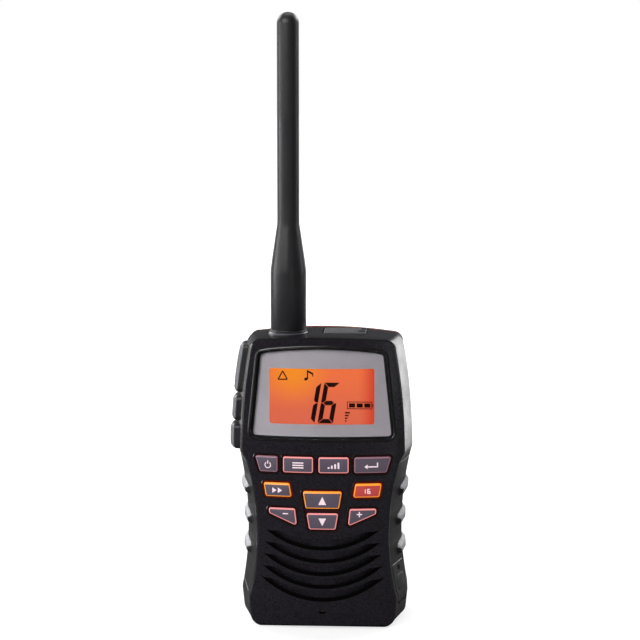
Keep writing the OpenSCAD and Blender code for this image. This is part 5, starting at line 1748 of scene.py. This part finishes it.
@dataclass
class Housing:
    """The front shell with all its openings, and the band of the floating core."""

    display: Display
    keypad: Keypad
    grille: Grille
    grips: Grips
    buttons: SideButtons
    antenna: Antenna
    top_cover: TopCover
    side_cover: SideCover
    boss_r: float = 3.4
    boss_y: float = -10.0

    def _skin(self) -> BMesh:
        """Returns the outer form of the front shell."""
        bm = bmesh.new()
        b = FORM.bevel
        rings = [FORM.crown_ring(b, 0.0), FORM.crown_ring(0.72, 0.04), FORM.crown_ring(0.08, 0.7),
                 FORM.crown_ring(0.0, b + 0.1)]
        ys = [FORM.edge_y + 4.0, FORM.edge_y + 9.0, FORM.wide_y - 0.6, FORM.wide_y]
        rings += [FORM.flat_ring(y, 0.0, 0.0) for y in ys]
        rings += [FORM.flat_ring(FORM.seam_y - 0.3, FORM.seam_inset - 0.01, 0.0),
                  FORM.flat_ring(FORM.seam_y, FORM.seam_inset + 0.28, 0.1)]
        closed_loft(bm, rings, 0.0, (1, Tag.BEZEL))
        return bm

    def _cavity(self) -> BMesh:
        """Returns the hollow inside the front shell."""
        bm = bmesh.new()
        w = FORM.wall
        rings = [FORM.crown_ring(w, w), FORM.flat_ring(FORM.wide_y, w, w),
                 FORM.flat_ring(FORM.seam_y + 1, w + FORM.seam_inset, w)]
        closed_loft(bm, rings, -w)
        return bm

    def _inside(self) -> BMesh:
        """Returns the ledge behind the window, the screw bosses and the thickened ceiling."""
        bm = bmesh.new()
        pad(bm, CROWN, self.display.outline, [(2.6, -FORM.wall + 0.4), (2.6, -self.display.seat - 1.4)])
        for x, z in FORM.bosses:
            rod(bm, *along_y(x, (self.boss_y, FORM.seam_y - 0.05), z), self.boss_r)
        self.top_cover.support(bm, self.antenna)
        return bm

    def _passes(self) -> list[list[Callable[[BMesh], None]]]:
        """Returns the cuts in passes, so that no two cuts of one pass meet."""
        first = [self.display.pocket, self.keypad.pockets, self.buttons.holes, self.antenna.seat,
                 self.top_cover.pocket, self.grille.slot, lambda bm: self.grips.recess(bm, LEFT),
                 lambda bm: self.grips.recess(bm, RIGHT)]
        second = [self.display.opening, self.keypad.openings, self.antenna.hole, self.top_cover.holes,
                  self.side_cover.pocket, self.grille.thinning]
        return [first, second, [self.side_cover.holes], [self.grille.louvres]]

    def build(self, palette: Palette) -> None:
        """Makes the front shell and the orange band."""
        lips = bmesh.new()
        self.keypad.lips(lips)
        self.display.lip(lips)
        bm = combine(self._skin(), self._cavity(), Join.CUT)
        bm = combine(bm, lips, Join.ADD)
        bm = combine(bm, self._inside(), Join.ADD)
        for cuts in self._passes():
            tool = bmesh.new()
            for cut in cuts:
                cut(tool)
            bm = combine(bm, tool, Join.CUT)
        publish("front_shell_moulding", bm, [palette.shell, palette.recess, palette.shell, palette.bezel,
                                             palette.ember, palette.dim_ember, palette.gutter],
                replaces=["front_shell"], sharp=24.0)

        band, hollow = bmesh.new(), bmesh.new()
        inset = FORM.seam_inset + 0.21
        marks = ((FORM.seam_y + 0.02, inset + 0.1), (FORM.seam_y + 0.3, inset),
                 (FORM.rear_seam_y - 0.3, inset), (FORM.rear_seam_y - 0.02, inset + 0.1))
        closed_loft(band, [FORM.flat_ring(y, drawn_in, drawn_in) for y, drawn_in in marks])
        closed_loft(hollow, [FORM.flat_ring(y, inset + 0.6, inset + 0.6)
                             for y in (FORM.seam_y - 2, FORM.rear_seam_y + 2)])
        publish("core_band_skin", combine(band, hollow, Join.CUT), [palette.core], sharp=35.0)


# ---- rear


@dataclass
class RearCover:
    """The rear moulding, the battery cover and the screws."""

    bay_low: Point = (-20.3, 14.2)
    bay_high: Point = (20.3, 77.8)
    margin: Point = (2.7, 5.7)
    cover_t: float = 1.8
    gasket_t: float = 0.6
    screw_z: Point = (11.2, 80.8)
    boss_r: float = 3.0
    sink_r: float = 2.2
    shank_r: float = 1.3
    groove_half: float = 8.0
    grooves: int = 4
    groove_pitch: float = 1.8
    clip_screws: tuple[Point, ...] = ((-5.0, 87.8), (5.0, 87.8))

    @property
    def cover(self) -> Outline:
        """Outline of the battery cover's recess."""
        (left, foot), (right, top), (side, end) = self.bay_low, self.bay_high, self.margin
        return plate((left - side, foot - end), (right + side, top + end), 3.0, 4.0, 6)

    def _body(self) -> BMesh:
        """Returns the rounded rear moulding, hollowed, with its frame and bosses."""
        marks = [(0.0, 0.42, 0.12), (0.03, 0.32, 0.0), (0.25, 0.6, 0.0), (0.5, 0.92, 0.0),
                 (0.68, 1.42, 0.16), (0.83, 2.05, 0.5), (0.93, 2.75, 1.1), (0.985, 3.4, 1.75),
                 (1.0, 3.75, 2.15)]
        bm, hollow = bmesh.new(), bmesh.new()
        closed_loft(bm, [FORM.flat_ring(FORM.rear_seam_y + share * FORM.rear_depth, inset, lift)
                         for share, inset, lift in marks])
        closed_loft(hollow, [FORM.flat_ring(FORM.rear_seam_y - 1, FORM.wall + 0.3, FORM.wall),
                             FORM.flat_ring(FORM.rear_y - 2.4, FORM.wall + 1.6, FORM.wall + 1)])
        bm = combine(bm, hollow, Join.CUT)
        inside = padded(REAR, self.cover, [(1.5, -FORM.rear_depth + 0.02), (1.5, -1.0)])
        for x, z in FORM.bosses:
            rod(inside, *along_y(x, (FORM.rear_seam_y + 0.02, FORM.rear_y - 1.6), z), self.boss_r)
        return combine(bm, inside, Join.ADD)

    def build(self, palette: Palette) -> None:
        """Makes the rear moulding, the battery cover and the screw heads."""
        ledge = -self.cover_t - self.gasket_t
        wide = padded(REAR, self.cover, [(0.5, 3.0), (0.5, 0.5), (0.0, 0.0), (0.0, ledge)])
        bay = rectangle(self.bay_low, self.bay_high)
        deep = padded(REAR, bay, [(0.0, -1.0), (0.0, -FORM.rear_depth - 2)])
        for x, z in FORM.bosses:
            rod(wide, *along_y(x, (FORM.rear_y - 3, FORM.rear_y + 4), z), self.sink_r, 40)
            rod(deep, *along_y(x, (FORM.rear_y - 12, FORM.rear_y - 2), z), self.shank_r, 24)
        bm = combine(combine(self._body(), wide, Join.CUT), deep, Join.CUT)
        publish("rear_moulding", bm, [palette.rear], replaces=["rear_cover"], sharp=24.0)
        self._battery_cover(palette)
        self._screws(palette)

    def _battery_cover(self, palette: Palette) -> None:
        """Makes the battery cover with its raised field, finger grooves and countersinks."""
        (left, foot), (right, top) = self.bay_low, self.bay_high
        bm = padded(REAR, self.cover, [(-0.2, -self.cover_t), (-0.2, -0.35), (-0.55, 0.0)])
        cuts, holes = bmesh.new(), bmesh.new()
        for z in self.screw_z:
            rod(cuts, *along_y(0.0, (FORM.rear_y - 1, FORM.rear_y + 3), z), self.sink_r + 0.15, 40)
            rod(holes, *along_y(0.0, (FORM.rear_y - 4, FORM.rear_y - 0.5), z), self.shank_r, 24)
        for k in range(self.grooves):
            z = self.screw_z[0] + 7 + self.groove_pitch * k
            groove = rounded(rectangle((-self.groove_half, z), (self.groove_half, z + 0.8)), 0.35)
            pad(cuts, REAR, groove, [(0.25, 1.0), (0.25, 0.2), (0.0, -0.5)])
        ring = plate((left + 1.0, foot + 12.0), (right - 1.0, top - 4.0), 2.5, 4.0, 6)
        pad(cuts, REAR, ring, [(0.3, 1.0), (0.3, 0.15), (0.0, -0.3)])
        bm = combine(combine(bm, cuts, Join.CUT), holes, Join.CUT)
        bm = combine(bm, padded(REAR, ring, [(-0.6, -0.8), (-0.6, -0.25), (-0.85, 0.0)]), Join.ADD)
        publish("battery_door", bm, [palette.rear], replaces=["battery_cover"], sharp=24.0)

    def _screws(self, palette: Palette) -> None:
        """Makes the screws, each with a head and shank of given radius and length, and a cross recess."""
        groups = {
            "case_screws": (FORM.bosses, -3.0, (2.0, 1.2, 1.2, 24.0), palette.dark_steel),
            "battery_screws": ([(0.0, z) for z in self.screw_z], -1.0, (2.2, 0.9, 1.1, 5.0), palette.steel),
            "clip_screws": (self.clip_screws, 2.2, (2.2, 1.0, 1.25, 4.4), palette.steel),
        }
        for node, (places, lift, (head_r, head_h, shank_r, shank_l), metal) in groups.items():
            bm, cuts, y = bmesh.new(), bmesh.new(), FORM.rear_y + lift
            for x, z in places:
                form = [(0.0, -shank_l), (shank_r, -shank_l), (shank_r, 0.0), (head_r - 0.05, 0.0),
                        (head_r, 0.08), (head_r, head_h * 0.45), (head_r * 0.92, head_h * 0.75),
                        (head_r * 0.7, head_h * 0.94), (0.0, head_h)]
                turned(bm, form, Vector((x, y, z)), Y, 40)
                near, far = 0.28, head_r * 0.62
                arm = [(near, -near), (far, -near), (far, near)]
                quarters = [[(u, v), (-v, u), (-u, -v), (v, -u)] for u, v in arm]
                cross = [(x + quarter[k][0], z + quarter[k][1]) for k in range(4) for quarter in quarters]
                pad(cuts, PlainFace(1, y), cross, [(0.0, head_h + 1), (0.0, head_h * 0.35)])
            publish(f"{node}_turned", combine(bm, cuts, Join.CUT), [metal], replaces=[node],
                    sharp=35.0)


@dataclass
class BeltClip:
    """The clip's base, tongue, pin and torsion spring."""

    pin_y: float = 26.0
    pin_z: float = 97.4
    pin_r: float = 1.25
    half: float = 12.4
    coil_r: float = 1.9
    wire_r: float = 0.35
    coil_half: float = 3.6
    turns: float = 5.5

    def build(self, palette: Palette, nodes: dict[str, Object]) -> None:
        """Makes the clip's pieces; the tongue and base start from merged copies of their solids."""
        for node, body, width in (("clip_base", HOUSING_BODY, 0.35), ("belt_clip", "belt_clip", 0.4)):
            bm = node_copy(nodes[node])
            soften(bm, width)
            publish(f"{node}_moulding", bm, [palette.clip], body=body, replaces=[node], sharp=30.0)
        bm = bmesh.new()
        r, h = self.pin_r, self.half
        turned(bm, [(0.0, -h), (r - 0.2, -h), (r, -h + 0.2), (r, h - 0.2), (r - 0.2, h), (0.0, h)],
               Vector((0.0, self.pin_y, self.pin_z)), X, 32)
        publish("clip_pin_turned", bm, [palette.steel], replaces=["clip_pin"], sharp=35.0)
        self._spring(palette)

    def _spring(self, palette: Palette) -> None:
        """Makes the spring: a round wire spun about the pin with a rise along it, and two legs."""
        bm = bmesh.new()
        centre = Vector((-self.coil_half, self.pin_y, self.pin_z))
        matrix = Matrix.Translation(centre - Y * self.coil_r)
        made = bmesh.ops.create_circle(bm, cap_ends=False, segments=12, radius=self.wire_r, matrix=matrix)
        ring = made["verts"]
        edges = list({edge for vert in ring for edge in vert.link_edges})
        steps = round(self.turns * 36)
        rise = X * (2 * self.coil_half / steps)
        last = bmesh.ops.spin(bm, geom=[*ring, *edges], cent=centre, axis=X, dvec=rise,
                              angle=2 * math.pi * self.turns, steps=steps, use_merge=False)["geom_last"]
        for end_edges, leg in ((edges, Vector((0.0, 0.0, 2.8))),
                               ([e for e in last if isinstance(e, BMEdge)], Vector((0.0, -0.6, 2.5)))):
            out = bmesh.ops.extrude_edge_only(bm, edges=end_edges)["geom"]
            bmesh.ops.translate(bm, verts=[v for v in out if isinstance(v, BMVert)], vec=leg)
        bmesh.ops.holes_fill(bm, edges=[edge for edge in bm.edges if edge.is_boundary])
        publish("clip_spring_wire", bm, [palette.steel], replaces=["clip_spring"], sharp=50.0)


# ---- inner parts


@dataclass
class InnerParts:
    """Finishes of the CAD nodes that keep their own shape inside the housing."""

    def dress(self, palette: Palette, nodes: dict[str, Object]) -> None:
        """Gives each carried-over node its finish."""
        finishes = {
            "floating_core": palette.core, "backlight": palette.diffuser, "keypad_mat": palette.mat,
            "main_board": palette.board, "side_switch_board": palette.board, "rf_shield": palette.steel,
            "speaker": palette.jack, "speaker_gasket": palette.foam, "speaker_cloth": palette.cloth,
            "microphone": palette.steel, "antenna_stud": palette.brass, "antenna_nut": palette.steel,
            "audio_jack": palette.jack, "charge_jack": palette.jack, "battery_pack": palette.cell_wrap,
            "battery_gasket": palette.core,
        }
        for name, finish in finishes.items():
            mesh = nodes[name].data
            mesh.materials.clear()
            mesh.materials.append(finish)
            LOG.info("%s keeps its shape", name)


# ---- studio


@dataclass(frozen=True)
class SoftBox:
    """An area lamp aimed at the radio; its angles are in degrees and its sizes in metres."""

    name: str
    azimuth: float
    elevation: float
    distance: float
    wide: float
    tall: float
    radiance: float


@dataclass
class Studio:
    """Floor, surroundings, lamps and camera; each card has two ends, a brightness and soft edges."""

    target: tuple[float, float, float] = (-0.00195, 0.0, 0.1216)
    azimuth: float = 3.0
    elevation: float = 9.0
    distance: float = 0.9
    lens: float = 126.6
    cards: tuple[tuple[float, float, float], ...] = ((-0.62, -0.42, 1.8), (0.24, 0.48, 2.35))
    soft: float = 0.04
    lamps: tuple[SoftBox, ...] = (
        SoftBox("left_strip", -94.0, -2.0, 0.55, 0.18, 0.36, 6.5),
        SoftBox("left_box", -66.0, 0.0, 1.1, 0.3, 0.9, 2.5),
        SoftBox("right_strip", 26.0, -4.0, 1.2, 0.16, 0.5, 1.3),
        SoftBox("edge_strip", 108.0, 6.0, 1.1, 0.25, 0.8, 2.5),
        SoftBox("fill_box", -30.0, 30.0, 1.2, 1.0, 0.5, 7.0),
        SoftBox("overhead_box", 180.0, 68.0, 1.3, 1.0, 0.7, 2.7),
        SoftBox("rear_right_box", 138.0, 28.0, 1.3, 0.8, 0.5, 7.0),
        SoftBox("rear_left_box", -136.0, 26.0, 1.3, 0.8, 0.5, 5.5),
    )

    def _aim(self, azimuth: float, elevation: float, distance: float) -> tuple[Vector, Any]:
        """Returns a place round the target and the turn that faces it."""
        a, e = math.radians(azimuth), math.radians(elevation)
        away = Vector((math.sin(a) * math.cos(e), -math.cos(a) * math.cos(e), math.sin(e)))
        return Vector(self.target) + away * distance, away.to_track_quat("Z", "Y")

    def camera(self) -> None:
        """Creates the camera at the photograph's angle."""
        data = bpy.data.cameras.new("camera")
        data.lens, data.sensor_width, data.clip_start = self.lens, 36.0, 0.01
        camera = linked("camera", data)
        camera.location, turn = self._aim(self.azimuth, self.elevation, self.distance)
        camera.rotation_euler = turn.to_euler()
        bpy.context.scene.camera = camera

    def light(self) -> None:
        """Creates the soft boxes."""
        for box in self.lamps:
            data = bpy.data.lights.new(box.name, "AREA")
            data.shape, data.size, data.size_y = "RECTANGLE", box.wide, box.tall
            data.energy = box.radiance * math.pi * box.wide * box.tall
            lamp = linked(box.name, data)
            lamp.location, turn = self._aim(box.azimuth, box.elevation, box.distance)
            lamp.rotation_euler = turn.to_euler()

    def surroundings(self) -> None:
        """Makes the world: white to the eye, and a soft grey room for the light."""
        world = bpy.data.worlds.new("room")
        world.use_nodes = True
        bpy.context.scene.world = world
        graph = Graph(world.node_tree)
        path = graph.add("LightPath").outputs
        aim = graph.add("SeparateXYZ", {0: graph.add("TexCoord").outputs["Generated"]}).outputs
        low = graph.minus(1.0, graph.ramp(aim["Z"], 0.25, 0.45))
        back = graph.times(low, graph.ramp(aim["Y"], 0.4, 0.6))
        cards = graph.times(back, self._cards(graph, aim["X"]))
        room = graph.plus(0.1, cards)
        seen = self._seen(graph, path, aim["Y"])
        level = graph.plus(seen, graph.times(graph.minus(1.0, seen), room))
        graph.close(graph.add("Background", {"Color": WHITE, "Strength": level}), "World")

    @staticmethod
    def _seen(graph: Graph, path: Any, depth: Any) -> Any:
        """Returns 1 for the eye's own rays, and for those that pass through a clear piece to the back."""
        through = graph.times(path["Is Transmission Ray"], graph.ramp(depth, 0.0, 0.1))
        return graph.plus(path["Is Camera Ray"], through, clamp=True)

    def _cards(self, graph: Graph, across: Any) -> Any:
        """Returns the brightness of the two reflector cards behind the radio, by their place across it."""
        total: Any = 0.0
        for start, end, strength in self.cards:
            inside = graph.times(graph.ramp(across, start - self.soft, start + self.soft),
                                 graph.minus(1.0, graph.ramp(across, end - self.soft, end + self.soft)))
            total = graph.plus(total, graph.times(inside, strength))
        return total

    def floor(self) -> None:
        """Makes the pale floor, which keeps the radio's shadow."""
        bm = bmesh.new()
        bmesh.ops.create_grid(bm, x_segments=1, y_segments=1, size=1.0)
        bmesh.ops.scale(bm, vec=(2.0, 1.7, 1.0), verts=bm.verts[:])
        bmesh.ops.translate(bm, vec=(0.0, 1.35, -0.0002), verts=bm.verts[:])
        material, graph = new_material("pale_floor")
        path = graph.add("LightPath").outputs
        place = graph.add("TexCoord").outputs["Object"]
        parts = graph.add("SeparateXYZ", {0: place}).outputs
        seen = self._seen(graph, path, parts["Y"])
        away = graph.add("VectorMath", {0: place}, operation="LENGTH").outputs["Value"]
        far = graph.ramp(away, 0.1, 0.7)
        white = graph.times(seen, graph.plus(0.72, graph.times(far, 0.28)))
        across = graph.math("DIVIDE", parts["X"], away)
        cards = graph.times(graph.ramp(parts["Y"], 0.18, 0.42), self._cards(graph, across))
        mirrored = graph.times(path["Is Glossy Ray"], cards)
        base = graph.mix(path["Is Glossy Ray"], (0.42, 0.42, 0.42, 1.0), (0.1, 0.1, 0.1, 1.0))
        graph.close(graph.add("BsdfPrincipled", {
            "Base Color": base, "Roughness": 0.9, "Specular IOR Level": 0.1, "Emission Color": WHITE,
            "Emission Strength": graph.plus(white, mirrored)}))
        floor = as_object("floor", bm)
        floor.data.materials.append(material)

    def build(self) -> None:
        """Sets up the whole studio."""
        bpy.context.scene.view_settings.view_transform = "Standard"
        self.camera()
        self.light()
        self.surroundings()
        self.floor()


# ---- all together


def main() -> None:
    """Builds the radio and its studio."""
    logging.basicConfig(level=logging.INFO, format="%(name)s: %(message)s")
    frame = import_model()
    studio = Studio()
    studio.build()
    palette = Palette()
    display, keypad, grille, grips = Display(), Keypad(), Grille(), Grips()
    buttons, antenna, top_cover, side_cover = SideButtons(), Antenna(), TopCover(), SideCover()
    housing = Housing(display, keypad, grille, grips, buttons, antenna, top_cover, side_cover)
    housing.build(palette)
    display.build(palette)
    keypad.build(palette)
    grips.build(palette, side_cover.opening)
    buttons.build(palette)
    antenna.build(palette)
    top_cover.build(palette)
    side_cover.build(palette)
    RearCover().build(palette)
    BeltClip().build(palette, frame["nodes"])
    InnerParts().dress(palette, frame["nodes"])


if __name__ == "__main__":
    main()
